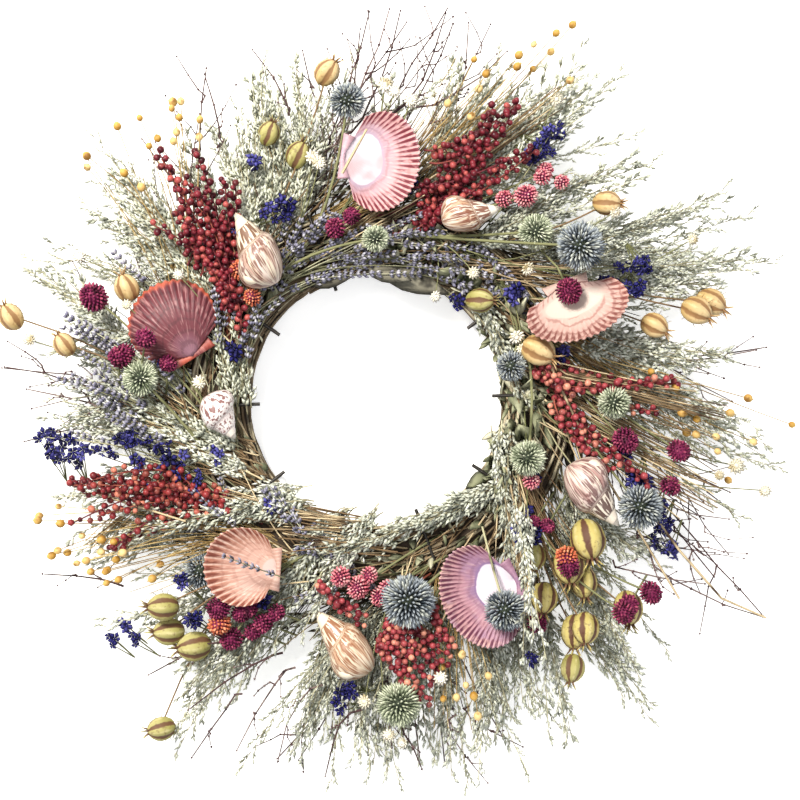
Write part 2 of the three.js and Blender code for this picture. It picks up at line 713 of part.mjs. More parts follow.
// Shells: four scallops show their inside and one its outside
const SCALLOPS = {
  scallop_top: {
    look: 'scallopPink', at: [4, 176, 84], size: 57, wide: 0.65, opens: -8, inside: true,
  },
  scallop_left: { look: 'scallopRed', at: [-151, 58, 80], size: 60, wide: 0.56, opens: 122 },
  scallop_bottom_left: {
    look: 'scallopPeach', at: [-99, -123, 82], size: 55, wide: 0.53, opens: 176, inside: true,
  },
  scallop_bottom: {
    look: 'scallopPink', at: [78, -145, 80], size: 58, wide: 0.68, opens: 205, inside: true,
  },
  scallop_right: {
    look: 'scallopPink', at: [149, 64, 84], size: 59, wide: 0.65, opens: -69, tilt: 40, inside: true,
  },
};
const SNAILS = {
  snail_shell_left: {
    look: 'snailStriped', at: [-87, 110, 92],
    length: 62, turns: 3, sides: 12, width: 1, points: -60,
  },
  snail_shell_top: {
    look: 'snailStriped', at: [69, 136, 90],
    length: 46, turns: 3, sides: 12, width: 1.07, points: 193,
  },
  snail_shell_spotted: {
    look: 'snailSpotted', at: [-116, -12, 78],
    length: 40, turns: 3, sides: 10, width: 1.25, points: 125,
  },
  snail_shell_right: {
    look: 'snailStriped', at: [159, -69, 88],
    length: 60, turns: 3, sides: 12, width: 1.03, points: 130,
  },
  snail_shell_bottom: {
    look: 'snailStriped', at: [-23, -181, 90],
    length: 64, turns: 3, sides: 12, width: 0.95, points: -47,
  },
};

// Heads: the seat of their stems, then x, y, z and the size of each
const THISTLES = {
  globe_thistles_top: [{ angle: 126, around: 92 }, [[-21, 222, 62, 13], [0, 119, 72, 10]]],
  globe_thistles_top_right: [{ angle: 82, around: 90 }, [[118, 124, 74, 13], [149, 112, 72, 17]]],
  globe_thistle_left: [{ angle: 206, around: 85 }, [[-172, 28, 70, 13]]],
  globe_thistle_bottom_left: [{ angle: 252, around: 60 }, [[-131, -128, 50, 13]]],
  globe_thistles_right: [{ angle: 32, around: 100 }, [[100, 25, 66, 11], [112, -43, 72, 13]]],
  globe_thistles_right_edge: [{ angle: 16, around: 70 }, [[176, -2, 68, 12], [196, -79, 66, 16]]],
  globe_thistles_bottom: [{ angle: 308, around: 80 }, [[24, -148, 74, 19], [17, -225, 66, 16]]],
};
const PODS = {
  seed_pods_left: [{ angle: 192, around: 50 }, [[-274, 63, 44, 9], [-231, 50, 52, 8]]],
  seed_pod_top: [{ angle: 140, around: 50 }, [[-36, 245, 52, 9]]],
  seed_pods_right: [{ angle: 62, around: 55 }, [
    [172, 146, 62, 9], [239, 66, 58, 10], [256, 55, 50, 10], [208, 55, 56, 9],
  ]],
  seed_pods_bottom_right: [{ angle: 336, around: 60 }, [
    [157, -105, 62, 12], [125, -148, 56, 10], [155, -137, 48, 10], [155, -169, 44, 11],
    [177, -169, 50, 11], [143, -180, 64, 10],
  ]],
  seed_pods_bottom_left: [{ angle: 246, around: 40 }, [
    [-164, -148, 60, 10], [-162, -168, 50, 10], [-144, -180, 42, 11], [-172, -243, 30, 9],
  ]],
};
const AMARANTHS = {
  amaranths_left: [{ angle: 200, around: 95 }, [
    [-209, 76, 62, 11], [-166, 48, 56, 7], [-186, 36, 58, 7],
  ]],
  amaranths_right: [{ angle: 24, around: 50 }, [[185, -30, 60, 10], [219, -65, 58, 9]]],
  amaranths_bottom_right: [{ angle: 328, around: 40 }, [
    [142, -122, 64, 9], [188, -150, 62, 9], [200, -151, 52, 9],
  ]],
  amaranths_bottom_left: [{ angle: 254, around: 90 }, [
    [-116, -154, 62, 9], [-114, -174, 50, 9], [-88, -164, 60, 8],
  ]],
};
const PINKS = {
  everlastings_top_right: [{ angle: 84, around: 40 }, [[111, 151, 66, 9], [137, 161, 58, 7]]],
  everlastings_bottom: [{ angle: 296, around: 100 }, [[-13, -139, 60, 9], [-2, -146, 56, 8]]],
};
const WHITES = {
  white_everlastings: [{ angle: 110, around: 70 }, [[7, 234, 60, 7], [26, 223, 56, 7]]],
};

// Heads that lie on a scallop
const HEADS_ON_SHELLS = {
  globe_thistle_on_scallop: { look: 'thistle', at: [95, -154, 110], size: 15 },
  amaranth_on_scallop: { look: 'amaranth', at: [142, 80, 116], size: 10 },
};

// Bunches: the seat of each and the tips of its stems
const BERRIES = {
  pepperberries_left: [{ angle: 160, around: 92 }, [
    [-158, 178, 70], [-134, 186, 60], [-112, 164, 72], [-146, 140, 80],
  ]],
  pepperberries_top: [{ angle: 88, around: 75 }, [[106, 221, 66], [118, 184, 72], [84, 196, 62]]],
  pepperberries_right: [{ angle: 20, around: 85 }, [[226, 12, 60], [206, -48, 56], [160, -44, 70]]],
  pepperberries_bottom: [{ angle: 286, around: 60 }, [[20, -208, 50], [48, -212, 60]]],
  pepperberries_bottom_left: [{ angle: 226, around: 85 }, [
    [-226, -60, 60], [-206, -86, 66], [-204, -104, 54],
  ]],
};
const FLAX = {
  flax_left: [{ angle: 168, around: 20 }, [
    [-196, 208, 34], [-170, 191, 50], [-147, 226, 40], [-131, 210, 56], [-218, 184, 44],
  ]],
  flax_top: [{ angle: 100, around: 45 }, [
    [83, 245, 50], [119, 268, 44], [149, 284, 36], [54, 222, 56], [107, 257, 60],
  ]],
  flax_right: [{ angle: 32, around: 50 }, [
    [266, -10, 50], [314, -19, 40], [237, -43, 56], [263, -70, 44], [224, 9, 58],
  ]],
  flax_bottom_left: [{ angle: 240, around: 60 }, [
    [-254, -90, 50], [-228, -114, 56], [-203, -128, 48], [-192, -134, 60], [-171, -127, 64],
  ]],
};
const ARTEMISIA = {
  artemisia_top_left: [{ angle: 166, around: 0 }, [
    [-216, 202, 26], [-186, 176, 36], [-226, 152, 18], [-250, 120, 28], [-271, 109, 20],
  ]],
  artemisia_top: [{ angle: 134, around: 0 }, [
    [-86, 259, 30], [-106, 221, 40], [-50, 225, 46], [18, 266, 26], [63, 255, 34],
  ]],
  artemisia_top_right: [{ angle: 86, around: 20 }, [
    [187, 250, 30], [160, 236, 42], [123, 255, 26], [211, 180, 36], [150, 205, 50],
  ]],
  artemisia_right: [{ angle: 58, around: 0 }, [
    [286, 142, 28], [305, 106, 36], [262, 158, 44], [240, 120, 22], [270, 84, 46],
  ]],
  artemisia_right_low: [{ angle: 22, around: 0 }, [
    [266, 32, 34], [310, -52, 26], [277, -90, 34], [240, 0, 42],
  ]],
  artemisia_bottom_right: [{ angle: 342, around: 5 }, [
    [217, -128, 30], [209, -244, 26], [187, -225, 38], [180, -190, 22],
  ]],
  artemisia_bottom: [{ angle: 312, around: 0 }, [
    [116, -285, 28], [70, -292, 36], [92, -250, 46], [140, -250, 24],
  ]],
  artemisia_bottom_left: [{ angle: 282, around: 10 }, [
    [18, -292, 28], [-34, -291, 36], [-102, -278, 30], [-20, -245, 46], [-70, -240, 54],
  ]],
  artemisia_left_low: [{ angle: 258, around: 0 }, [
    [-153, -270, 28], [-147, -225, 38], [-120, -230, 24], [-203, -98, 30],
  ]],
  artemisia_left: [{ angle: 206, around: 5 }, [
    [-248, 16, 30], [-232, -30, 24], [-211, -8, 44], [-225, 60, 22],
  ]],
};
const TWIGS = {
  twigs_top: [{ angle: 118, around: -20 }, [
    [-16, 294, 22], [20, 295, 28], [105, 285, 24], [-47, 268, 20],
  ]],
  twigs_left: [{ angle: 190, around: -20 }, [
    [-282, 25, 22], [-240, 90, 18], [-130, 252, 18], [-267, -41, 20],
  ]],
  twigs_right: [{ angle: 14, around: -20 }, [
    [293, -163, 26], [258, -102, 20], [264, -115, 30], [296, 40, 20],
  ]],
  twigs_bottom: [{ angle: 292, around: -20 }, [
    [-75, -273, 18], [33, -273, 24], [52, -276, 16], [104, -251, 20],
  ]],
};
const LAVENDERS = {
  lavender_top: [{ angle: 138, around: 110 }, [
    [-36, 138, 64], [-20, 121, 56], [22, 124, 60], [66, 106, 58], [84, 92, 64], [100, 78, 56],
  ]],
};
const LARKSPURS = {
  larkspur_left: [{ angle: 216, around: 65 }, [[-245, -28, 56], [-215, -36, 64], [-176, -34, 60]]],
  larkspur_top_right: [{ angle: 66, around: 80 }, [[130, 198, 56], [198, 100, 64], [190, 84, 54]]],
  larkspur_right: [{ angle: 8, around: 100 }, [[206, -62, 56], [226, -108, 60], [112, -101, 60]]],
};

// A flax stem that swells to a round boll at its tip
function flax(root, tip, bow) {
  const curve = sweep(root, tip, bow);
  const size = BOLL / curve.getLength();
  const stops = [0, 0.35, 0.7, 1 - 1.9 * size, 1 - size, 1];
  const radius = (t) => (t > 1 - 1.5 * size ? 1.1 * BOLL : 0.9);
  return solidOf(new StemGeometry(curve, { stops, sides: 4, radius }));
}

// From the back to the front
addNode('wire_frame', 'wire', wireFrame().simplify(SLACK));
addNode('stem_ring', 'boundStems', stemRing());

const shells = [];
for (const [name, shell] of Object.entries(SCALLOPS)) {
  shells.push({ name, look: shell.look, solid: scallopAt(shell) });
}
for (const [name, shell] of Object.entries(SNAILS)) {
  shells.push({ name, look: shell.look, solid: snailAt(shell) });
}
const rooms = shells.map(({ solid }) => {
  const room = roomOver(solid);
  return { solid: room, box: room.boundingBox() };
});
blockers.push(...rooms);

function podSolid(tip, size) {
  const outwards = new THREE.Vector3(tip.x, tip.y, 0).normalize();
  const axis = outwards.add(clockwise(tip)).setZ(0.8).normalize();
  return pod(tip, size, axis);
}
function addHeads(table, look, headSolid, thickness) {
  for (const [name, [at, places]] of Object.entries(table)) {
    heads(name, look, at, places, headSolid, thickness);
  }
}
function addBunches(table, look, make) {
  for (const [name, [at, tips]] of Object.entries(table)) bunch(name, look, at, tips, make);
}
addHeads(THISTLES, 'thistle', thistleHead, 1.9);
addHeads(PODS, 'pod', podSolid, 1.4);
addHeads(AMARANTHS, 'amaranth', amaranthHead, 1.3);
addHeads(PINKS, 'pink', amaranthHead, 1.3);
addHeads(WHITES, 'white', starHead, 1.1);
addBunches(BERRIES, 'pepperberry', pepperberries);
addBunches(LARKSPURS, 'larkspur', larkspur);
addBunches(LAVENDERS, 'lavender', lavender);
addBunches(FLAX, 'flax', flax);
addBunches(ARTEMISIA, 'artemisia', artemisia);
addBunches(TWIGS, 'twig', twig);

for (const room of rooms) blockers.splice(blockers.indexOf(room), 1);
for (const { name, look, solid } of shells) layDown(name, look, solid, FALL);
for (const [name, { look, at, size }] of Object.entries(HEADS_ON_SHELLS)) {
  const headSolid = look === 'thistle' ? thistleHead : amaranthHead;
  layDown(name, look, headSolid(vec(at), size), FALL);
}

// Each piece becomes a mesh about its own middle, and the whole stands on the middle of its back
const wreath = new THREE.Group();
wreath.name = 'dried_flower_wreath';
const whole = new THREE.Box3();
for (const { name, look, solid } of nodes) {
  const mesh = solid.getMesh();
  const geometry = new THREE.BufferGeometry();
  geometry.setAttribute('position', new THREE.Float32BufferAttribute(mesh.vertProperties, 3));
  geometry.setIndex(new THREE.Uint32BufferAttribute(mesh.triVerts, 1));
  geometry.computeBoundingBox();
  whole.union(geometry.boundingBox);
  const middle = geometry.boundingBox.getCenter(new THREE.Vector3());
  geometry.translate(-middle.x, -middle.y, -middle.z);
  const material = new THREE.MeshStandardMaterial({ ...LOOKS[look], flatShading: true });
  const piece = new THREE.Mesh(geometry, material);
  piece.name = name;
  piece.position.copy(middle);
  wreath.add(piece);
}
const middle = whole.getCenter(new THREE.Vector3());
wreath.position.set(-middle.x, -middle.y, -whole.min.z);
wreath.updateMatrixWorld(true);

export default wreath;
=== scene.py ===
"""A dried flower wreath with seashells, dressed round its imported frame.

Lengths and places are in millimetres about the middle of the wreath's hole, with +Z out of its front,
and become metres in the frame's own axes when a mesh is made.
"""

import logging
import math
import random
from dataclasses import dataclass
from enum import Enum
from typing import Callable, Optional, Sequence

import bmesh
import bpy
import numpy as np
from mathutils import Matrix, Quaternion, Vector


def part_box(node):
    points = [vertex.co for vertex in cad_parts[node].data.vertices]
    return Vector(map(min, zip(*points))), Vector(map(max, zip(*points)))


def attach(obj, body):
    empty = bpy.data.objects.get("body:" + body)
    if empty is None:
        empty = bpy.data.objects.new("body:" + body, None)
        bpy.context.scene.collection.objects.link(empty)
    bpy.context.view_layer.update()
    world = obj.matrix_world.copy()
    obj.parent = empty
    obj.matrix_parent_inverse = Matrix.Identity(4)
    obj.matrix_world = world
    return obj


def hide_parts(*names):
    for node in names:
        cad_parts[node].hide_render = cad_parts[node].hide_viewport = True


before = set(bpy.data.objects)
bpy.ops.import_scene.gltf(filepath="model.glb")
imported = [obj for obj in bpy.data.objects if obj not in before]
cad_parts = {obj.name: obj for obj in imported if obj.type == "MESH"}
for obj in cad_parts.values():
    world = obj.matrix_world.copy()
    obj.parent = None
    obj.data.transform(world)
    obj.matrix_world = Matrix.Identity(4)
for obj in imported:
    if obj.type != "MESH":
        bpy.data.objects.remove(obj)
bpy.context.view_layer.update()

LOG = logging.getLogger("wreath")
MM = 0.001
UP = Vector((0.0, 0.0, 1.0))
TURN = 2 * math.pi
GOLDEN = math.radians(137.508)
BUMP_STEP = 0.0005
# A screen's colour curve: the end and slope of its straight part, then the offset and power of the rest.
STRAIGHT, SLOPE, OFFSET, POWER = 0.04045, 12.92, 0.055, 2.4

Colour = tuple[float, float, float, float]
Face = tuple[int, ...]
Socket = bpy.types.NodeSocket
Material = bpy.types.Material


def hue(code: str) -> Colour:
    """Turn a screen colour into the linear one that a shader takes.

    Args:
        code: six hexadecimal digits.

    Returns:
        Red, green, blue and alpha.
    """
    shares = [int(code[i:i + 2], 16) / 255 for i in (0, 2, 4)]
    linear = [c / SLOPE if c < STRAIGHT else ((c + OFFSET) / (1 + OFFSET)) ** POWER for c in shares]
    return (*linear, 1.0)


def polar(angle: float, radius: float, height: float = 0.0) -> Vector:
    """Give the place at an angle in degrees round the hole."""
    return Vector((radius * math.cos(math.radians(angle)), radius * math.sin(math.radians(angle)), height))


def clockwise(place: Vector) -> Vector:
    """Give the way clockwise round the hole, which every stem follows."""
    return Vector((place.y, -place.x, 0.0)).normalized()


def outwards(place: Vector) -> Vector:
    """Give the way straight out from the middle of the hole."""
    return Vector((place.x, place.y, 0)).normalized()


def turned(place: Vector, degrees: float) -> Vector:
    """Turn a place round the middle of the hole."""
    return Matrix.Rotation(math.radians(degrees), 3, "Z") @ place


def facing(direction: Vector, roll: float = 0.0) -> Quaternion:
    """Give the turn that points a shape's +Z along a direction.

    Args:
        direction: where the shape's tip goes.
        roll: a turn about that direction, in radians.

    Returns:
        The turn.
    """
    return direction.to_track_quat("Z", "Y") @ Quaternion(UP, roll)


def walls(rows: Sequence[Sequence[int]], closed: bool = True) -> list[Face]:
    """Give the faces between rows of corners.

    Args:
        rows: the numbers of each row's corners, as many in each.
        closed: whether a row's last corner joins its first.

    Returns:
        A face of four corners for every span.
    """
    start = 0 if closed else 1
    return [(lower[i - 1], lower[i], upper[i], upper[i - 1])
            for lower, upper in zip(rows, rows[1:]) for i in range(start, len(lower))]


def fanned(row: Sequence[int], peak: int, closed: bool = True) -> list[Face]:
    """Give the faces from a row of corners to a single one, as walls does between rows."""
    return [(row[i - 1], row[i], peak) for i in range(0 if closed else 1, len(row))]


def skinned(first: int, rings: Sequence[Sequence[int]], last: int) -> list[Face]:
    """Give the faces of a form of rings that ends in a corner at its root and one at its tip."""
    return fanned(rings[0][::-1], first) + walls(rings) + fanned(rings[-1], last)


def shown(name: str, data: bpy.types.ID) -> bpy.types.Object:
    """Put a mesh, a lamp or a camera in the scene.

    Args:
        name: the object's name.
        data: what it shows.

    Returns:
        The object, at the origin.
    """
    made = bpy.data.objects.new(name, data)
    bpy.context.scene.collection.objects.link(made)
    return made


@dataclass(frozen=True)
class RingSizes:
    """The bound ring and the wire frame, as the frame's source has them.

    A place on the ring's skin is sunk a little, sideways and upwards, and the section is partly square.
    """

    radius: float = 122.0
    half_width: float = 25.0
    bottom: float = 4.2
    top: float = 44.0
    sunk: tuple[float, float] = (2.0, 1.0)
    square: float = 0.35
    wire_radius: float = 120.0
    wire: float = 1.7
    clamps: int = 10
    first_clamp: float = 2.0

    @property
    def middle(self) -> float:
        """Height of the middle of the ring's section."""
        return (self.bottom + self.top) / 2

    def on_surface(self, angle: float, around: float, lift: float = 0.0) -> Vector:
        """Give a place on the ring's skin.

        Args:
            angle: degrees round the hole.
            around: degrees round the section: 0 outwards, 90 up, 180 inwards.
            lift: how far the place stands off the skin.

        Returns:
            The place.
        """
        turn = math.radians(around)
        out = (self.half_width - self.sunk[0] + lift) * math.cos(turn)
        up = ((self.top - self.bottom) / 2 - self.sunk[1] + lift) * math.sin(turn)
        flat = max(abs(math.cos(turn)), abs(math.sin(turn))) ** self.square
        return polar(angle, self.radius + out / flat, self.middle + up / flat)


RING = RingSizes()


class Frame:
    """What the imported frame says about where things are."""

    LIFTS = (0, 4, -4, 8, 13, -9, 19, 26, 34, 43)
    TURNS = (0, 2, -2, 4, -4, 7, -7, 10, -10)
    LOWEST = 8.0
    NEAR = 0.06

    def __init__(self) -> None:
        """Find the middle of the hole from the wire frame."""
        low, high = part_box("wire_frame")
        self.middle = Vector(((low.x + high.x) / 2, (low.y + high.y) / 2, 0.0))
        self.spots: dict[str, np.ndarray] = {}

    def metres(self, spots: Sequence[Sequence[float]]) -> np.ndarray:
        """Turn places about the hole into the frame's metres."""
        return np.asarray(spots, dtype=np.float64).reshape(-1, 3) * MM + np.array(self.middle)

    def corners(self, node: str) -> np.ndarray:
        """Give a node's corners about the hole, in millimetres.

        Args:
            node: the node's name.

        Returns:
            A row for each corner.
        """
        if node not in self.spots:
            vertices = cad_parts[node].data.vertices
            places = np.empty(len(vertices) * 3, dtype=np.float32)
            vertices.foreach_get("co", places)
            self.spots[node] = (places.reshape(-1, 3) - np.array(self.middle)) / MM
        return self.spots[node]

    def heights(self, node: str) -> tuple[float, float]:
        """Give a node's lowest and highest point in millimetres."""
        low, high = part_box(node)
        return low.z / MM, high.z / MM

    def settled(self, node: str, nominal: Sequence[float], reach: float = 0.0) -> Vector:
        """Find where a tip or a head stands in the frame, near its nominal place.

        A stem that had to be bent clear had its tip lifted, and turned round the hole, by one of a few
        amounts. The right one is the one whose distance to many of the node's corners is the head's reach.

        Args:
            node: the node that holds it.
            nominal: the place asked for.
            reach: how far the head's outermost corners are from its middle, or 0 for a bare tip.

        Returns:
            The place found, or the nominal one.
        """
        best, hits = Vector(nominal), 0
        corners = self.corners(node)
        for lift in self.LIFTS:
            for turn in self.TURNS:
                place = turned(Vector(nominal), turn)
                place.z = max(self.LOWEST, place.z + lift)
                apart = np.linalg.norm(corners - np.array(place), axis=1)
                found = int(np.sum(np.abs(apart - reach) < self.NEAR))
                if found > hits:
                    best, hits = place, found
        return best


CAD = Frame()


@dataclass(frozen=True)
class Shape:
    """A small form that is repeated on a plant: corners, faces, and how far along each corner lies."""

    name: str
    spots: list[Vector]
    faces: list[Face]
    along: list[float]

    def as_object(self) -> bpy.types.Object:
        """Make the form as an object that a plant's tree can copy.

        Returns:
            The object.
        """
        mesh = bpy.data.meshes.new(self.name)
        mesh.from_pydata([tuple(s) for s in self.spots], [], self.faces)
        mesh.attributes.new("along", "FLOAT", "POINT").data.foreach_set("value", self.along)
        return shown(self.name, mesh)


def turned_form(name: str, profile: Sequence[tuple[float, float]], sides: int, bend: float = 0.0) -> Shape:
    """Turn a profile round +Z into a closed form.

    Args:
        name: the form's name.
        profile: radius and height of each ring, from the root to the tip; the ends close to a point.
        sides: how many sides it has.
        bend: how far the tip leans to +X.

    Returns:
        The form.
    """
    low, high = profile[0][1], profile[-1][1]
    spots, along, rings = [Vector((0, 0, low))], [0.0], []
    for radius, height in profile[1:-1]:
        share = (height - low) / (high - low)
        rings.append(range(len(spots), len(spots) + sides))
        for j in range(sides):
            turn = TURN * j / sides
            lean = bend * share * share
            spots.append(Vector((radius * math.cos(turn) + lean, radius * math.sin(turn), height)))
            along.append(share)
    spots.append(Vector((bend, 0, high)))
    along.append(1.0)
    return Shape(name, spots, skinned(0, rings, len(spots) - 1), along)


def merged(name: str, forms: Sequence[tuple[Shape, Matrix]]) -> Shape:
    """Put several forms together as one that is copied whole.

    Args:
        name: the new form's name.
        forms: the forms and where each goes.

    Returns:
        The form.
    """
    whole = Shape(name, [], [], [])
    for form, matrix in forms:
        start = len(whole.spots)
        whole.spots.extend(matrix @ s for s in form.spots)
        whole.faces.extend(tuple(start + i for i in face) for face in form.faces)
        whole.along.extend(form.along)
    return whole


def blade(name: str, width: float, thick: float, curl: float = 0.0, steps: int = 4) -> Shape:
    """Make a thin leaf or petal along +Z, one long, with a raised midrib.

    Args:
        name: the form's name.
        width: half its width.
        thick: half its thickness.
        curl: how far the tip curls to +X.
        steps: spans along it.

    Returns:
        The form.
    """
    spots, along, rings = [Vector((0, 0, 0))], [0.0], []
    for i in range(1, steps):
        share = i / steps
        half = width * math.sin(math.pi * share ** 0.8)
        lean = curl * share * share
        edge = lean + 0.5 * half
        rings.append(range(len(spots), len(spots) + 4))
        for x, y in ((lean + thick, 0.0), (edge, half), (lean - thick, 0.0), (edge, -half)):
            spots.append(Vector((x, y, share)))
            along.append(share)
    spots.append(Vector((curl, 0, 1)))
    along.append(1.0)
    return Shape(name, spots, skinned(0, rings, len(spots) - 1), along)


def ball(name: str, rings: int, sides: int, tip: float = 0.0) -> Shape:
    """Make a round form of radius one.

    Args:
        name: the form's name.
        rings: spans from its root to its tip.
        sides: how many sides it has.
        tip: how far a short point stands out, if it has one.

    Returns:
        The form.
    """
    profile = [(math.sin(math.pi * i / rings), -math.cos(math.pi * i / rings)) for i in range(rings + 1)]
    if tip:
        profile[-1:] = [(0.16, 1.0), (0.0, 1.0 + tip)]
    return turned_form(name, profile, sides)


def flower(name: str, petals: int, rows: int, width: float, lean: float, heart: float, steps: int) -> Shape:
    """Make a small flower that faces +Z: rows of petals round a domed heart.

    Args:
        name: the form's name.
        petals: how many a row has.
        rows: how many rows it has, the inner ones smaller and more upright.
        width: half a petal's width.
        lean: how far the outer petals lean, in radians.
        heart: the heart's radius.
        steps: spans along a petal.

    Returns:
        The form.
    """
    petal = blade("petal", width, 0.03, 0.12, steps)
    forms = []
    for row in range(rows):
        for j in range(petals):
            turn = Matrix.Rotation(TURN * (j + 0.5 * row) / petals, 4, "Z")
            droop = Matrix.Rotation(lean * (1 - 0.32 * row), 4, "Y")
            forms.append((petal, turn @ droop @ Matrix.Scale(1 - 0.2 * row, 4)))
    forms.append((ball("heart", 3, 6), Matrix.Translation((0, 0, 0.1)) @ Matrix.Scale(heart, 4)))
    return merged(name, forms)


class Kind(Enum):
    """What grows at a point of a plant."""

    STEM = 0
    FIRST = 1
    SECOND = 2


class Growth:
    """Stems and the places of what grows on them, gathered before they become one piece."""

    def __init__(self, seed: int) -> None:
        """Start empty.

        Args:
            seed: where its chance starts.
        """
        self.chance = random.Random(seed)
        self.points: list[tuple[Vector, float, float, int, Quaternion, Vector]] = []
        self.links: list[tuple[int, int]] = []

    def stem(self, spots: Sequence[Vector], thick: float, tip: float, tone: float) -> None:
        """Add a stem through some places.

        Args:
            spots: the places, from its root.
            thick: its radius at the root.
            tip: its radius at the tip.
            tone: 0 to 1, which picks its colour.
        """
        for i, spot in enumerate(spots):
            radius = thick + (tip - thick) * (i / (len(spots) - 1))
            if i:
                self.links.append((len(self.points) - 1, len(self.points)))
            self.points.append((spot, radius, tone, Kind.STEM.value, Quaternion(), Vector((1, 1, 1))))

    def bowed(self, root: Vector, tip: Vector, bow: float, count: int, thick: float, end: float,
              tone: float) -> None:
        """Add a stem that bows clockwise, through so many places."""
        self.stem(sampled(sweep(root, tip, bow), count), thick, end, tone)

    def put(self, kind: Kind, spot: Vector, direction: Vector, size: Sequence[float],
            tone: Optional[float] = None, roll: Optional[float] = None) -> None:
        """Place a copy of one of the plant's forms.

        Args:
            kind: which form.
            spot: where its root is.
            direction: where its tip points.
            size: its width, depth and length.
            tone: 0 to 1, which picks its colour; left out, it is drawn by chance.
            roll: its turn about its own length; left out, it is drawn by chance.
        """
        shade = self.chance.random() if tone is None else tone
        spin = self.chance.uniform(0, TURN) if roll is None else roll
        self.points.append((spot, 0.0, shade, kind.value, facing(direction, spin), Vector(size)))

    def object(self, name: str) -> bpy.types.Object:
        """Make the points and lines as an object for the plant's tree.

        Args:
            name: its name.

        Returns:
            The object, whose points carry what the tree reads.
        """
        spots, thick, tones, kinds, turns, sizes = zip(*self.points)
        mesh = bpy.data.meshes.new(name)
        mesh.from_pydata(CAD.metres([tuple(s) for s in spots]).tolist(), self.links, [])
        for label, kind, key, values in (
            ("thick", "FLOAT", "value", [t * MM for t in thick]),
            ("tone", "FLOAT", "value", tones),
            ("kind", "INT", "value", kinds),
            ("turn", "QUATERNION", "value", [c for q in turns for c in q]),
            ("size", "FLOAT_VECTOR", "vector", [c * MM for v in sizes for c in v]),
        ):
            mesh.attributes.new(label, kind, "POINT").data.foreach_set(key, values)
        return shown(name, mesh)


class NodeTree:
    """A short way to write the nodes of a material, a group or a plant's tree."""

    def __init__(self, tree: bpy.types.NodeTree) -> None:
        """Keep the tree."""
        self.tree = tree

    def socket(self, name: str, kind: str, way: str = "INPUT", value: Optional[float] = None) -> str:
        """Add a socket to a group.

        Args:
            name: its name.
            kind: what goes through it.
            way: INPUT or OUTPUT.
            value: its value where nothing is given.

        Returns:
            Its identifier.
        """
        made = self.tree.interface.new_socket(name, in_out=way, socket_type="NodeSocket" + kind)
        if value is not None:
            made.default_value = value
        return made.identifier

    def feed(self, node: bpy.types.Node, inputs: dict) -> None:
        """Give a node its inputs.

        Args:
            node: the node.
            inputs: a value or another node's socket, by the input's name or its number among those in use.
        """
        used = [s for s in node.inputs if s.enabled]
        for key, value in inputs.items():
            target = used[key] if isinstance(key, int) else node.inputs[key]
            if isinstance(value, Socket):
                self.tree.links.new(value, target)
            else:
                target.default_value = value

    def node(self, kind: str, inputs: Optional[dict] = None, **settings: object) -> bpy.types.Node:
        """Add a node.

        Args:
            kind: its kind.
            inputs: its inputs, as feed takes them.
            **settings: its settings.

        Returns:
            The node.
        """
        made = self.tree.nodes.new(kind)
        for key, value in settings.items():
            setattr(made, key, value)
        self.feed(made, inputs or {})
        return made

    def out(self, kind: str, inputs: Optional[dict] = None, **settings: object) -> Socket:
        """Add a node as the method node does, and give its first output that is in use."""
        return next(s for s in self.node(kind, inputs, **settings).outputs if s.enabled)

    def attribute(self, name: str) -> Socket:
        """Read a number that the mesh carries."""
        return self.node("ShaderNodeAttribute", attribute_name=name).outputs["Fac"]

    def mix(self, share: Socket, first: object, second: object) -> Socket:
        """Mix two colours, each a socket or six hexadecimal digits."""
        first, second = (hue(colour) if isinstance(colour, str) else colour for colour in (first, second))
        return self.out("ShaderNodeMix", {0: share, 1: first, 2: second}, data_type="RGBA")

    def layers(self, colour: object, *coats: tuple[Socket, object]) -> Socket:
        """Lay coats of colour over a first one.

        Args:
            colour: the first colour.
            *coats: for each coat how much of it covers, and its colour.

        Returns:
            The colour that shows.
        """
        for share, coat in coats:
            colour = self.mix(share, colour, coat)
        return colour

    def math(self, operation: str, *values: object) -> Socket:
        """Work a sum on sockets and numbers."""
        return self.out("ShaderNodeMath", dict(enumerate(values)), operation=operation)

    def ramp(self, share: Socket, low: float, high: float, most: float = 1.0) -> Socket:
        """Stretch the part of a number between two limits to 0 and the most wanted."""
        limits = {"Value": share, "From Min": low, "From Max": high, "To Max": most}
        return self.out("ShaderNodeMapRange", limits, interpolation_type="SMOOTHSTEP")

    def noise(self, scale: object, detail: float = 3.0, place: Optional[Socket] = None) -> Socket:
        """Read a noise, of the piece's own place if no other is given."""
        place = place or self.node("ShaderNodeTexCoord").outputs["Object"]
        return self.out("ShaderNodeTexNoise", {"Vector": place, "Scale": scale, "Detail": detail})

    def sway(self, scale: float, detail: float, wide: float) -> Socket:
        """Read a noise that sways about 0."""
        return self.math("MULTIPLY", self.math("SUBTRACT", self.noise(scale, detail), 0.5), wide)

    def marks(self, detail: float, *ways: tuple[Socket, float]) -> Socket:
        """Read a noise over two numbers that the mesh carries, each stretched by its own scale."""
        stretched = {number: self.math("MULTIPLY", *way) for number, way in enumerate(ways)}
        return self.noise(1.0, detail, self.out("ShaderNodeCombineXYZ", stretched))


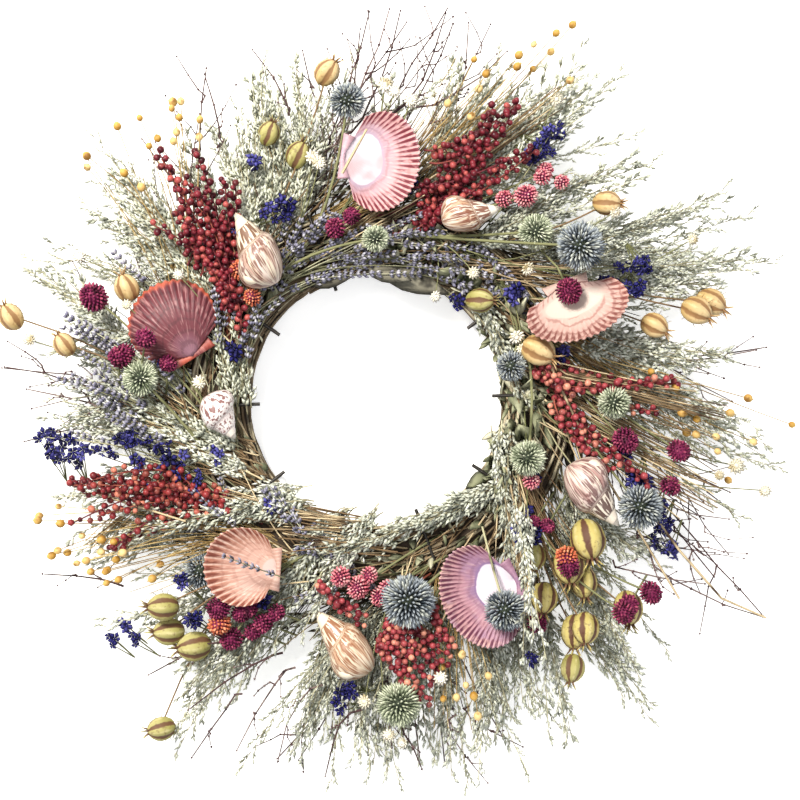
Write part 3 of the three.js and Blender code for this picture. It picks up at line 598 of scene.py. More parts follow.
class PlantTree(NodeTree):
    """The nodes that grow a plant: tubes along its lines, and copies of forms on its points."""

    FORMS = (Kind.FIRST, Kind.SECOND)

    def __init__(self) -> None:
        """Build the tree once."""
        super().__init__(bpy.data.node_groups.new("grow_plant", "GeometryNodeTree"))
        inputs = [("Geometry", "Geometry", None), ("Stem Sides", "Int", 4),
                  ("Stem Material", "Material", None), ("Size Spread", "Float", 0.12), ("Seed", "Int", 7)]
        for kind in self.FORMS:
            inputs += [(f"Form {kind.value}", "Object", None), (f"Material {kind.value}", "Material", None)]
        self.sockets = {name: self.socket(name, sort, "INPUT", value) for name, sort, value in inputs}
        self.socket("Geometry", "Geometry", "OUTPUT")
        source = self.node("NodeGroupInput").outputs
        join = self.node("GeometryNodeJoinGeometry")
        for part in (self.tubes(source), *(self.copies(source, kind) for kind in self.FORMS)):
            self.feed(join, {"Geometry": part})
        self.node("NodeGroupOutput", {"Geometry": join.outputs["Geometry"]})

    def named(self, name: str, kind: str) -> Socket:
        """Read an attribute of the points."""
        return self.out("GeometryNodeInputNamedAttribute", {"Name": name}, data_type=kind)

    def tubes(self, source: bpy.types.NodeOutputs) -> Socket:
        """Make the stems, each a tube as thick as its points say.

        Args:
            source: what comes into the tree.

        Returns:
            The mesh with its material.
        """
        curve = self.out("GeometryNodeMeshToCurve", {"Mesh": source["Geometry"]})
        circle = {"Resolution": source["Stem Sides"], "Radius": 1.0}
        tube = self.out("GeometryNodeCurveToMesh", {
            "Curve": curve, "Profile Curve": self.out("GeometryNodeCurvePrimitiveCircle", circle),
            "Scale": self.named("thick", "FLOAT"), "Fill Caps": True})
        smooth = self.out("GeometryNodeSetShadeSmooth", {"Geometry": tube})
        return self.out("GeometryNodeSetMaterial", {"Geometry": smooth, "Material": source["Stem Material"]})

    def copies(self, source: bpy.types.NodeOutputs, kind: Kind) -> Socket:
        """Copy one form onto its points.

        Args:
            source: what comes into the tree.
            kind: which form.

        Returns:
            Real mesh with its material.
        """
        form = self.node("GeometryNodeObjectInfo", {"Object": source[f"Form {kind.value}"]})
        same = self.out("FunctionNodeCompare", {0: self.named("kind", "INT"), 1: kind.value},
                        data_type="INT", operation="EQUAL")
        low, high = (self.math(operation, 1.0, source["Size Spread"]) for operation in ("SUBTRACT", "ADD"))
        limits = {0: low, 1: high, "Seed": source["Seed"]}
        spread = self.out("FunctionNodeRandomValue", limits, data_type="FLOAT")
        size = self.out("ShaderNodeVectorMath", {
            "Vector": self.named("size", "FLOAT_VECTOR"), "Scale": spread}, operation="SCALE")
        copies = self.out("GeometryNodeInstanceOnPoints", {
            "Points": source["Geometry"], "Selection": same, "Rotation": self.named("turn", "QUATERNION"),
            "Instance": self.out("GeometryNodeSetShadeSmooth", {"Geometry": form.outputs["Geometry"]}),
            "Scale": size})
        real = self.out("GeometryNodeRealizeInstances", {"Geometry": copies})
        return self.out("GeometryNodeSetMaterial", {
            "Geometry": real, "Material": source[f"Material {kind.value}"]})

    def grow(self, growth: Growth, name: str, slot: str, stem: str, forms: Sequence[tuple[Shape, str]] = (),
             nodes: Sequence[str] = (), sides: int = 4, spread: float = 0.12) -> None:
        """Grow a plant into one plain mesh and hand it to the frame.

        Args:
            growth: its stems and places.
            name: the piece's name.
            slot: a material slot's name, which is not used.
            stem: the stems' finish.
            forms: the form and finish of each kind, in order.
            nodes: the nodes that it stands for.
            sides: how many sides a stem has.
            spread: how much the copies differ in size.
        """
        base = growth.object(name)
        modifier = base.modifiers.new("grow", "NODES")
        modifier.node_group = self.tree
        copies = [form.as_object() for form, _ in forms]
        values = {"Stem Sides": sides, "Stem Material": FINISH[stem], "Size Spread": spread}
        for kind, copy, (_, finish) in zip(self.FORMS, copies, forms):
            values |= {f"Form {kind.value}": copy, f"Material {kind.value}": FINISH[finish]}
        for key, value in values.items():
            modifier[self.sockets[key]] = value
        bpy.context.view_layer.update()
        graph = bpy.context.evaluated_depsgraph_get()
        mesh = bpy.data.meshes.new_from_object(base.evaluated_get(graph), preserve_all_data_layers=True,
                                               depsgraph=graph)
        base.modifiers.clear()
        points, base.data = base.data, mesh
        mesh.name = name
        forms_data = [copy.data for copy in copies]
        for copy in copies:
            bpy.data.objects.remove(copy)
        for spare in (points, *forms_data):
            bpy.data.meshes.remove(spare)
        for label in ("thick", "kind", "turn", "size"):
            if label in mesh.attributes:
                mesh.attributes.remove(mesh.attributes[label])
        finished(base, nodes)


def mottle_group() -> bpy.types.NodeTree:
    """Build the group that every dried plant uses: patches of two colours, and a fine grain.

    Returns:
        The group, with a colour and a height.
    """
    tree = NodeTree(bpy.data.node_groups.new("dried_mottle", "ShaderNodeTree"))
    for name, kind in (("Colour", "Color"), ("Faded", "Color"), ("Dark", "Color"), ("Tone", "Float"),
                       ("Scale", "Float")):
        tree.socket(name, kind)
    tree.socket("Colour", "Color", "OUTPUT")
    tree.socket("Height", "Float", "OUTPUT")
    source = tree.node("NodeGroupInput").outputs
    patches = tree.noise(source["Scale"], 2.0)
    grain = tree.noise(tree.math("MULTIPLY", source["Scale"], 7.0), 4.0)
    colour = tree.layers(
        source["Colour"], (tree.ramp(source["Tone"], 0.45, 1.0), source["Faded"]),
        (tree.ramp(patches, 0.5, 0.72), source["Dark"]), (tree.ramp(grain, 0.55, 0.8, 0.35), source["Dark"]))
    tree.node("NodeGroupOutput", {"Colour": colour, "Height": grain})
    return tree.tree


class Paint(NodeTree):
    """A material and its Principled shader."""

    def __init__(self, name: str) -> None:
        """Start the material.

        Args:
            name: its name.
        """
        self.material = bpy.data.materials.new(name)
        self.material.use_nodes = True
        super().__init__(self.material.node_tree)

    def done(self, colour: Socket, height: Socket, bump: float,
             **numbers: float) -> Material:
        """Give the shader its inputs.

        Args:
            colour: its base colour.
            height: what roughens its surface, in steps of half a millimetre.
            bump: how much it does.
            **numbers: what is the same all over, by the socket's name with _ for a space.

        Returns:
            The material.
        """
        normal = self.out("ShaderNodeBump", {"Strength": bump, "Distance": BUMP_STEP, "Height": height})
        values = {key.replace("_", " "): value for key, value in numbers.items()}
        self.feed(self.tree.nodes["Principled BSDF"], {"Base Color": colour, "Normal": normal, **values})
        return self.material


@dataclass(frozen=True)
class DriedFinish:
    """The finish of a dried plant or of wire: root and tip colour, a faded and a dark one, and the grain."""

    name: str
    root: str
    tip: str
    faded: str
    dark: str
    scale: float = 60.0
    roughness: float = 0.85
    bump: float = 0.25
    sheen: float = 0.0
    metal: float = 0.0
    span: tuple[float, float] = (0.1, 0.9)

    def material(self, group: bpy.types.NodeTree) -> Material:
        """Build the material.

        Args:
            group: the mottle group.

        Returns:
            The material.
        """
        paint = Paint(self.name)
        mottle = paint.node("ShaderNodeGroup", {
            "Colour": paint.mix(paint.ramp(paint.attribute("along"), *self.span), self.root, self.tip),
            "Faded": hue(self.faded), "Dark": hue(self.dark), "Scale": self.scale,
            "Tone": paint.attribute("tone")}, node_tree=group).outputs
        return paint.done(mottle["Colour"], mottle["Height"], self.bump, Roughness=self.roughness,
                          Specular_IOR_Level=0.3, Sheen_Weight=self.sheen, Metallic=self.metal)


class Finishes:
    """Every material that a grown piece has, made once."""

    BERRY = {"scale": 110, "roughness": 0.38, "bump": 0.15, "span": (0.2, 1.0)}
    TABLE = (
        DriedFinish("artemisia_leaf", "a5a892", "d3d6c4", "eff0e4", "727660", 90, sheen=0.1),
        DriedFinish("artemisia_needle", "a6aa96", "d8dbcb", "f3f4e9", "74786a", 90, sheen=0.1),
        # The next two are near black as painted shade: the deep gaps under the bunches and the ring's core.
        DriedFinish("dark_leaf", "352f22", "4c4430", "665b40", "1c1912", 50, 0.9),
        DriedFinish("dark_stem", "3b3026", "574836", "82704e", "201a14", 60, 0.9),
        DriedFinish("artemisia_stem", "9a9377", "b5b292", "c8c5a4", "6f684c", 40),
        DriedFinish("twig_bark", "4a3434", "5c4446", "7d6a66", "2a1c20", 120, 0.8),
        DriedFinish("berry_dark", "45101a", "7c2630", "b25650", "340c14", **BERRY),
        DriedFinish("berry_orange", "5a1a20", "903434", "cc7c64", "44121a", **BERRY),
        DriedFinish("berry_pink", "681e28", "a8484c", "e0987e", "4a1420", **BERRY),
        DriedFinish("berry_stem", "6a2830", "84403a", "9c5540", "43191e", 90, 0.7),
        DriedFinish("flax_boll", "a87c30", "d6ae5c", "e6c98c", "86602a", 160, 0.5, 0.15),
        DriedFinish("flax_stem", "967c4c", "ad925c", "c8b07a", "6a512f", 60),
        DriedFinish("globe_thistle_blue", "2c3542", "a4acb2", "c2c6bc", "323c44", 120, 0.8, span=(0.4, 1.0)),
        DriedFinish("globe_thistle_green", "68745a", "c2c9ac", "dce0c6", "5e684e", 120, 0.8, span=(0.3, 1.0)),
        # The thistles' core is near black as painted shade in the gaps between their bristles.
        DriedFinish("thistle_core", "2c3228", "3a4234", "566050", "1e231c", 120),
        DriedFinish("green_stem", "6e7048", "7e805a", "b4b08c", "4b4e30", 50),
        DriedFinish("straw_stem", "7e674a", "a68b62", "e0cca4", "4a3829", 50),
        DriedFinish("amaranth_scale", "430c26", "7c1e4c", "a84a66", "300819", 150, 0.7, span=(0.1, 1.0)),
        DriedFinish("pink_scale", "b63c58", "dc8890", "f0bcb8", "9c2e48", 150, 0.7),
        DriedFinish("orange_scale", "a8452f", "d0734f", "e89c74", "803526", 150, 0.7),
        DriedFinish("lavender_bud", "45434e", "8a889e", "c0bec4", "32303a", 160, 0.85, sheen=0.1),
        DriedFinish("lavender_stem", "7c7b5e", "9a997a", "cccaaa", "50523a", 60),
        DriedFinish("larkspur_petal", "15134a", "25236c", "54529c", "0d0c30", 110, 0.7),
        DriedFinish("white_petal", "cfc7a8", "e2dcc8", "eeeadc", "b5a67e", 120, 0.7),
        DriedFinish("green_leaf", "60654a", "9ea080", "dcd8bc", "3c3f2a", 60, 0.75),
        DriedFinish("broad_leaf", "4e4a3e", "6e6a5c", "7e7a6a", "38352d", 90, 0.8, 0.5),
        DriedFinish("bound_stem", "64543f", "8c7b64", "cabea0", "30261c", 70, 0.9, 0.5),
        DriedFinish("wire_steel", "3a3734", "4a4642", "5c5853", "24211f", 90, 0.45, 0.1, metal=0.6),
    )

    def __init__(self) -> None:
        """Build the group and the materials."""
        group = mottle_group()
        self.made = {finish.name: finish.material(group) for finish in self.TABLE}

    def __getitem__(self, name: str) -> Material:
        """Give a material by name."""
        return self.made[name]


FINISH = Finishes()
PLANT = PlantTree()


def sweep(root: Vector, tip: Vector, bow: float = 0.35) -> Callable[[float], Vector]:
    """Give the curve that a stem follows, which leaves clockwise and bends outwards.

    Args:
        root: where it starts.
        tip: where it ends.
        bow: how far it bows clockwise, as a share of its reach.

    Returns:
        What gives the place at a share of the curve.
    """
    middle = root + clockwise(root) * bow * (tip - root).length
    middle.z = 0.45 * root.z + 0.55 * tip.z + 3

    def at(share: float) -> Vector:
        """Give the place at a share of the curve."""
        rest = 1 - share
        return root * rest * rest + middle * 2 * rest * share + tip * share * share

    return at


def across(direction: Vector, turn: float) -> Vector:
    """Give a way square to a direction, turned about it.

    Args:
        direction: the direction.
        turn: the turn in radians.

    Returns:
        The way.
    """
    side = direction.cross(UP)
    if side.length < 0.05:
        side = direction.cross(Vector((1, 0, 0)))
    side.normalize()
    over = side.cross(direction).normalized()
    return side * math.cos(turn) + over * math.sin(turn)


def sampled(curve: Callable[[float], Vector], count: int, last: float = 1.0) -> list[Vector]:
    """Give evenly spaced places along a curve, up to a share of it."""
    return [curve(last * i / (count - 1)) for i in range(count)]


def finished(piece: bpy.types.Object, nodes: Sequence[str] = ()) -> None:
    """Hand a piece to the frame.

    Args:
        piece: the piece.
        nodes: the nodes that it stands for.
    """
    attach(piece, "root")
    if nodes:
        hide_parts(*nodes)
    piece.data.calc_loop_triangles()
    LOG.info("%s: %d triangles", piece.name, len(piece.data.loop_triangles))


@dataclass(frozen=True)
class Bunch:
    """A bunch of stems: where it is tied to the ring, and where its stems end."""

    angle: float
    around: float
    tips: tuple[tuple[float, ...], ...]

    LOWEST = 9.0
    HIGHEST = 72.0

    def root(self, chance: random.Random, spread: float = 5.0) -> Vector:
        """Draw a root near the bunch's tie."""
        angle = self.angle + chance.gauss(0, spread)
        return RING.on_surface(angle, self.around + chance.gauss(0, 9), chance.uniform(-3, 4))

    def between(self, chance: random.Random, spread: float, shortest: float = 0.8,
                longest: float = 1.0) -> Vector:
        """Draw a tip among the bunch's own.

        Args:
            chance: where the draws come from.
            spread: how far it may lie from the line between two tips.
            shortest: the least share of the way out.
            longest: the greatest share of it.

        Returns:
            The tip.
        """
        first, second = (Vector(t[:3]) for t in chance.choices(self.tips, k=2))
        tip = first.lerp(second, chance.uniform(0, 0.7))
        tip = RING.on_surface(self.angle, self.around).lerp(tip, chance.uniform(shortest, longest))
        tip += Vector((chance.gauss(0, spread), chance.gauss(0, spread), chance.gauss(0, 0.4 * spread)))
        tip.z = min(max(tip.z, self.LOWEST), self.HIGHEST)
        return tip


ARTEMISIA = {
    "artemisia_top_left": Bunch(166, 0, (
        (-216, 202, 26), (-186, 176, 36), (-226, 152, 18), (-250, 120, 28), (-271, 109, 20))),
    "artemisia_top": Bunch(134, 0, (
        (-86, 259, 30), (-106, 221, 40), (-50, 225, 46), (18, 266, 26), (63, 255, 34))),
    "artemisia_top_right": Bunch(86, 20, (
        (187, 250, 30), (160, 236, 42), (123, 255, 26), (211, 180, 36), (150, 205, 50))),
    "artemisia_right": Bunch(58, 0, (
        (286, 142, 28), (305, 106, 36), (262, 158, 44), (240, 120, 22), (270, 84, 46))),
    "artemisia_right_low": Bunch(22, 0, ((266, 32, 34), (310, -52, 26), (277, -90, 34), (240, 0, 42))),
    "artemisia_bottom_right": Bunch(342, 5, (
        (217, -128, 30), (209, -244, 26), (187, -225, 38), (180, -190, 22))),
    "artemisia_bottom": Bunch(312, 0, (
        (116, -285, 28), (70, -292, 36), (92, -250, 46), (140, -250, 24))),
    "artemisia_bottom_left": Bunch(282, 10, (
        (18, -292, 28), (-34, -291, 36), (-102, -278, 30), (-20, -245, 46), (-70, -240, 54))),
    "artemisia_left_low": Bunch(258, 0, (
        (-153, -270, 28), (-147, -225, 38), (-120, -230, 24), (-203, -98, 30))),
    "artemisia_left": Bunch(206, 5, (
        (-248, 16, 30), (-232, -30, 24), (-211, -8, 44), (-225, 60, 22))),
}
TWIGS = {
    "twigs_top": Bunch(118, -20, ((-16, 294, 22), (20, 295, 28), (105, 285, 24), (-47, 268, 20))),
    "twigs_left": Bunch(190, -20, ((-282, 25, 22), (-240, 90, 18), (-130, 252, 18), (-267, -41, 20))),
    "twigs_right": Bunch(14, -20, ((293, -163, 26), (258, -102, 20), (264, -115, 30), (296, 40, 20))),
    "twigs_bottom": Bunch(292, -20, ((-75, -273, 18), (33, -273, 24), (52, -276, 16), (104, -251, 20))),
}
BERRIES = {
    "pepperberries_left": Bunch(160, 92, (
        (-158, 178, 70), (-134, 186, 60), (-112, 164, 72), (-146, 140, 80))),
    "pepperberries_top": Bunch(88, 75, ((106, 221, 66), (118, 184, 72), (84, 196, 62))),
    "pepperberries_right": Bunch(20, 85, ((226, 12, 60), (206, -48, 56), (160, -44, 70))),
    "pepperberries_bottom": Bunch(286, 60, ((20, -208, 50), (48, -212, 60))),
    "pepperberries_bottom_left": Bunch(226, 85, ((-226, -60, 60), (-206, -86, 66), (-204, -104, 54))),
}
FLAX = {
    "flax_left": Bunch(168, 20, (
        (-196, 208, 34), (-170, 191, 50), (-147, 226, 40), (-131, 210, 56), (-218, 184, 44))),
    "flax_top": Bunch(100, 45, (
        (83, 245, 50), (119, 268, 44), (149, 284, 36), (54, 222, 56), (107, 257, 60))),
    "flax_right": Bunch(32, 50, (
        (266, -10, 50), (314, -19, 40), (237, -43, 56), (263, -70, 44), (224, 9, 58))),
    "flax_bottom_left": Bunch(240, 60, (
        (-254, -90, 50), (-228, -114, 56), (-203, -128, 48), (-192, -134, 60), (-171, -127, 64))),
}
MORE_BOLLS = {
    "flax_left": (
        (-178, 213), (-218, 176), (-188, 170), (-176, 160), (-163, 196), (-152, 195), (-148, 200),
        (-152, 218), (-152, 224), (-146, 211), (-133, 199), (-219, 184)),
    "flax_top": (
        (74, 256), (78, 234), (106, 249), (72, 212), (135, 274), (132, 262), (145, 238), (119, 250)),
    "flax_right": (
        (206, 21), (225, 9), (279, 1), (234, -25), (241, -15), (256, -28), (284, -32), (256, -39),
        (229, -10), (250, -18)),
    "flax_bottom_left": (
        (-240, -80), (-254, -87), (-236, -92), (-242, -116), (-237, -112), (-231, -114), (-207, -114),
        (-219, -101), (-205, -104), (-196, -106), (-217, -120), (-202, -128), (-196, -120), (-202, -137),
        (-189, -114), (-162, -123), (-213, -128)),
}
LAVENDERS = {
    "lavender_top": Bunch(138, 110, (
        (-36, 138, 64), (-20, 121, 56), (22, 124, 60), (66, 106, 58), (84, 92, 64), (100, 78, 56))),
}
LARKSPURS = {
    "larkspur_left": Bunch(216, 65, ((-245, -28, 56), (-215, -36, 64), (-176, -34, 60))),
    "larkspur_top_right": Bunch(66, 80, ((130, 198, 56), (198, 100, 64), (190, 84, 54))),
    "larkspur_right": Bunch(8, 100, ((206, -62, 56), (226, -108, 60), (112, -101, 60))),
}
THISTLES = {
    "globe_thistles_top": Bunch(126, 92, ((-21, 222, 62, 13), (0, 119, 72, 10))),
    "globe_thistles_top_right": Bunch(82, 90, ((118, 124, 74, 13), (149, 112, 72, 17))),
    "globe_thistle_left": Bunch(206, 85, ((-172, 28, 70, 13),)),
    "globe_thistle_bottom_left": Bunch(252, 60, ((-131, -128, 50, 13),)),
    "globe_thistles_right": Bunch(32, 100, ((100, 25, 66, 11), (112, -43, 72, 13))),
    "globe_thistles_right_edge": Bunch(16, 70, ((176, -2, 68, 12), (196, -79, 66, 16))),
    "globe_thistles_bottom": Bunch(308, 80, ((24, -148, 74, 19), (17, -225, 66, 16))),
}
GREEN_THISTLES = {(0, 119), (-172, 28), (112, -43), (176, -2), (118, 124), (17, -225)}
PODS = {
    "seed_pods_left": Bunch(192, 50, ((-274, 63, 44, 9), (-231, 50, 52, 8))),
    "seed_pod_top": Bunch(140, 50, ((-36, 245, 52, 9),)),
    "seed_pods_right": Bunch(62, 55, (
        (172, 146, 62, 9), (239, 66, 58, 10), (256, 55, 50, 10), (208, 55, 56, 9))),
    "seed_pods_bottom_right": Bunch(336, 60, (
        (157, -105, 62, 12), (125, -148, 56, 10), (155, -137, 48, 10), (155, -169, 44, 11),
        (177, -169, 50, 11), (143, -180, 64, 10))),
    "seed_pods_bottom_left": Bunch(246, 40, (
        (-164, -148, 60, 10), (-162, -168, 50, 10), (-144, -180, 42, 11), (-172, -243, 30, 9))),
}
AMARANTHS = {
    "amaranths_left": Bunch(200, 95, ((-209, 76, 62, 11), (-166, 48, 56, 7), (-186, 36, 58, 7))),
    "amaranths_right": Bunch(24, 50, ((185, -30, 60, 10), (219, -65, 58, 9))),
    "amaranths_bottom_right": Bunch(328, 40, ((142, -122, 64, 9), (188, -150, 62, 9), (200, -151, 52, 9))),
    "amaranths_bottom_left": Bunch(254, 90, ((-116, -154, 62, 9), (-114, -174, 50, 9), (-88, -164, 60, 8))),
}
PINKS = {
    "everlastings_top_right": Bunch(84, 40, ((111, 151, 66, 9), (137, 161, 58, 7))),
    "everlastings_bottom": Bunch(296, 100, ((-13, -139, 60, 9), (-2, -146, 56, 8))),
}
WHITES = {"white_everlastings": Bunch(110, 70, ((7, 234, 60, 7), (26, 223, 56, 7)))}


class Undergrowth:
    """Dry leaves and stems low down, which close the gaps between the bunches near the ring; their dark
    colour is painted shade for those deep gaps.
    """

    LEAF = blade("low_leaf", 0.5, 0.03, 0.2, 3)
    SEED = 70
    LEAVES = 1000
    STEMS = 400
    INNER = 98
    BAND = 88

    def build(self) -> None:
        """Build it as one piece."""
        growth = Growth(self.SEED)
        chance = growth.chance
        for _ in range(self.LEAVES):
            angle = chance.uniform(0, 360)
            radius = self.INNER + self.BAND * chance.random() ** 1.2
            height = chance.uniform(6, 26) + 14 * max(0.0, 1 - (radius - 100) / 90)
            place = polar(angle, radius, height)
            way = outwards(place) * chance.uniform(-0.1, 0.9) * min(1.0, (radius - 90) / 60)
            way += clockwise(place)
            way.z = chance.uniform(-0.1, 0.35)
            long = chance.uniform(12, 28) * (1.25 - 0.5 * (radius - self.INNER) / self.BAND)
            growth.put(Kind.FIRST, place, way.normalized(), (2.5, chance.uniform(3, 6), long))
        for _ in range(self.STEMS):
            angle = chance.uniform(0, 360)
            root = polar(angle, chance.uniform(100, 150), chance.uniform(10, 40))
            tip = polar(angle - chance.uniform(12, 34), chance.uniform(130, 214), chance.uniform(10, 46))
            growth.bowed(root, tip, 0.25, 6, chance.uniform(0.5, 1.2), 0.4, chance.random())
        # Dark leaves and stems: painted shade in the gaps under the bunches.
        PLANT.grow(growth, "undergrowth", "bound_stems", "dark_stem", [(self.LEAF, "dark_leaf")], sides=3)


class Artemisia:
    """Silver green sprays: a stem, side twigs that lean forward, and small curled leaves on them.

    A plume lies on top: its start, its end, its height, how many sprays it has and how full they are.
    """

    LEAFLET = turned_form("artemisia_leaflet", ((0, 0), (1.0, 0.42), (0, 1)), 3, bend=0.2)
    SEED = 100
    NEEDLES = ("artemisia_top_left", "artemisia_right", "artemisia_left")
    PLUMES = {
        "artemisia_clumps": ("artemisia_leaf", (
            (-84, 128, -92, 248, 46, 13, 0.75), (-76, 126, -72, 236, 48, 12, 0.75),
            (-92, 132, -104, 206, 54, 9, 0.8), (-62, 140, -46, 206, 50, 9, 0.8),
            (-104, 140, -132, 214, 36, 7), (-60, 190, -66, 262, 34, 5, 0.8),
            (-116, 116, -156, 204, 34, 4, 0.8), (110, 180, 150, 278, 32, 5, 0.8),
            (-106, 8, -142, 112, 62, 3, 0.7), (-98, 10, -116, 58, 60, 4, 0.7),
            (44, 178, 62, 258, 42, 7, 0.8), (-128, 84, -184, 132, 50, 8, 0.8),
            (-76, 150, -94, 246, 38, 5, 0.8), (-112, 128, -152, 208, 34, 5),
        )),
        "artemisia_low_plumes": ("artemisia_needle", (
            (-30, -92, -112, -212, 52, 10, 1.1), (-44, -100, -130, -232, 44, 6, 1.1),
            (-6, -94, -70, -176, 58, 6), (-62, -78, -196, -96, 58, 9, 0.9),
            (98, -66, 112, -196, 58, 5, 0.8), (92, -176, 72, -286, 40, 6), (96, -182, 88, -262, 34, 5),
            (-4, -196, -12, -286, 36, 6), (14, -206, 10, -286, 32, 5), (162, -84, 206, -132, 46, 7),
            (176, -96, 226, -118, 40, 4), (160, -126, 206, -236, 34, 6), (150, -176, 190, -206, 32, 4),
            (-128, -152, -212, -168, 30, 4), (-118, -186, -162, -212, 30, 4),
            (-120, -196, -150, -262, 26, 3), (-66, -140, -120, -226, 40, 6), (-20, -160, -52, -266, 36, 7),
            (-140, -70, -236, -116, 36, 6), (130, -160, 150, -262, 34, 5), (-84, -150, -132, -246, 34, 5),
            (6, -150, 2, -264, 30, 4), (-140, -44, -244, -64, 34, 4), (-30, -190, -60, -286, 30, 3),
            (84, -66, -36, -124, 60, 9, 0.8), (96, -30, 92, -92, 60, 5, 0.7),
            (106, -88, 110, -206, 96, 4, 0.7), (-136, -86, -230, -128, 32, 5),
            (-90, -140, -146, -224, 34, 6), (-30, -170, -40, -256, 34, 5), (54, -182, 50, -286, 34, 7),
            (112, -176, 118, -262, 34, 4), (52, -152, 60, -232, 46, 5), (34, -186, 26, -278, 36, 6),
            (20, -146, 50, -200, 48, 4),
        )),
        "artemisia_plumes": ("artemisia_needle", (
            (-132, 96, -206, 178, 44, 9), (-140, 112, -190, 166, 40, 6), (-206, 58, -262, 106, 32, 8),
            (-150, 14, -226, 2, 46, 7), (-112, -38, -206, 8, 58, 7), (-108, -50, -178, -18, 60, 5),
            (52, 186, 104, 262, 40, 9), (86, 182, 180, 244, 46, 9), (98, 176, 158, 222, 52, 8),
            (116, 142, 206, 178, 46, 5), (140, 126, 274, 142, 40, 4), (146, 120, 232, 138, 46, 3),
            (164, 112, 232, 110, 44, 2), (184, 94, 296, 106, 44, 6), (180, 82, 262, 88, 48, 5),
            (162, 54, 262, 28, 50, 9), (-150, 44, -240, 44, 38, 8), (-160, -8, -246, -14, 40, 6),
            (-150, 120, -222, 140, 36, 4), (-146, -96, -222, -134, 32, 5), (166, 40, 240, 34, 54, 7),
            (188, 22, 300, -44, 46, 9), (196, 14, 272, -26, 50, 6), (20, 170, -6, 252, 40, 5),
            (84, 118, 128, 142, 60, 4), (84, 60, 112, -10, 58, 6, 0.8), (90, 128, 154, 156, 54, 7),
            (70, 190, 132, 236, 40, 5), (-142, 92, -216, 150, 38, 5), (-160, 20, -254, 46, 34, 6),
            (-160, -30, -256, -18, 34, 6), (-150, -60, -248, -74, 32, 5),
        )),
    }

    def spray(self, growth: Growth, root: Vector, tip: Vector, bow: float = 0.35, full: float = 1.0,
              lead: float = 0.3, leaf: float = 1.0) -> None:
        """Grow one spray.

        Args:
            growth: the plant.
            root: where it leaves the ring.
            tip: where it ends.
            bow: how far it bows clockwise, as a share of its reach.
            full: how wide and leafy it is.
            lead: the share of its stem that is bare.
            leaf: how large its leaves are and how far apart, as a share of the usual.
        """
        chance = growth.chance
        curve = sweep(root, tip, bow)
        leafy = (tip - root).length * (1 - lead)
        tone = chance.random()
        growth.stem(sampled(curve, 8), 0.7, 0.3, tone)
        twigs = max(6, int(leafy / 6.0))
        for i in range(twigs):
            share = (i + 0.5) / twigs
            spot = curve(lead + (1 - lead) * share)
            ahead = (curve(min(1.0, lead + (1 - lead) * share + 0.03)) - spot).normalized()
            out = across(ahead, i * GOLDEN + tone * 6)
            out.z *= 0.6
            length = full * (7.0 + 0.18 * leafy * (1 - share) ** 0.8) * chance.uniform(0.6, 1.15)
            way = (ahead * 2.4 + out).normalized()
            growth.stem([spot, spot + way * length], 0.35, 0.25, tone)
            leaves = max(4, int(length / (1.5 * leaf)))
            for j in range(leaves):
                lean = (way * 1.6 + across(way, j * GOLDEN + i) * chance.uniform(0.4, 1.0)).normalized()
                size = leaf * chance.uniform(0.85, 1.35)
                form = (size, 0.7 * size, leaf * chance.uniform(3.2, 5.6))
                place = spot + way * length * (j + 1) / leaves
                growth.put(Kind.FIRST, place, lean, form, tone * 0.6 + 0.4 * chance.random())

    def fan(self, growth: Growth, start: tuple[float, float], end: tuple[float, float], height: float,
            count: int, full: float = 1.0) -> None:
        """Grow the sprays of a plume that shows on top.

        Args:
            growth: the plant.
            start: where it starts.
            end: where it ends.
            height: how high it lies.
            count: how many sprays it has.
            full: how wide and leafy they are.
        """
        chance = growth.chance
        for _ in range(count):
            root = Vector((*start, height - chance.uniform(6, 16)))
            tip = Vector((*end, height + chance.uniform(-8, 4)))
            away = (tip - root).normalized()
            side = away.cross(UP).normalized()
            root += side * chance.gauss(0, 4) - away * chance.uniform(0, 20)
            tip += side * chance.gauss(0, 7) - away * (tip - root).length * chance.uniform(0, 0.4)
            self.spray(growth, root, tip, chance.uniform(0.0, 0.1), full, 0.12, 1.4)

    def build(self) -> None:
        """Build every bunch of sprays, then the plumes that show on top."""
        for number, (name, bunch) in enumerate(ARTEMISIA.items()):
            growth = Growth(self.SEED + number)
            chance = growth.chance
            for tip in bunch.tips:
                self.spray(growth, bunch.root(chance, 2), CAD.settled(name, tip), 0.35, 1.15)
            for _ in range(10):
                tip = bunch.between(chance, 12, 0.55)
                self.spray(growth, bunch.root(chance, 9), tip, chance.uniform(0.2, 0.45), 1.1)
            forms = [(self.LEAFLET, "artemisia_needle" if name in self.NEEDLES else "artemisia_leaf")]
            PLANT.grow(growth, name + "_sprays", "artemisia", "artemisia_stem", forms, [name], 3)
        for number, (name, (leaf, plumes)) in enumerate(self.PLUMES.items()):
            growth = Growth(self.SEED + 50 + number)
            for x, y, end_x, end_y, *rest in plumes:
                self.fan(growth, (x, y), (end_x, end_y), *rest)
            PLANT.grow(growth, name, "artemisia", "artemisia_stem", [(self.LEAFLET, leaf)], sides=3)


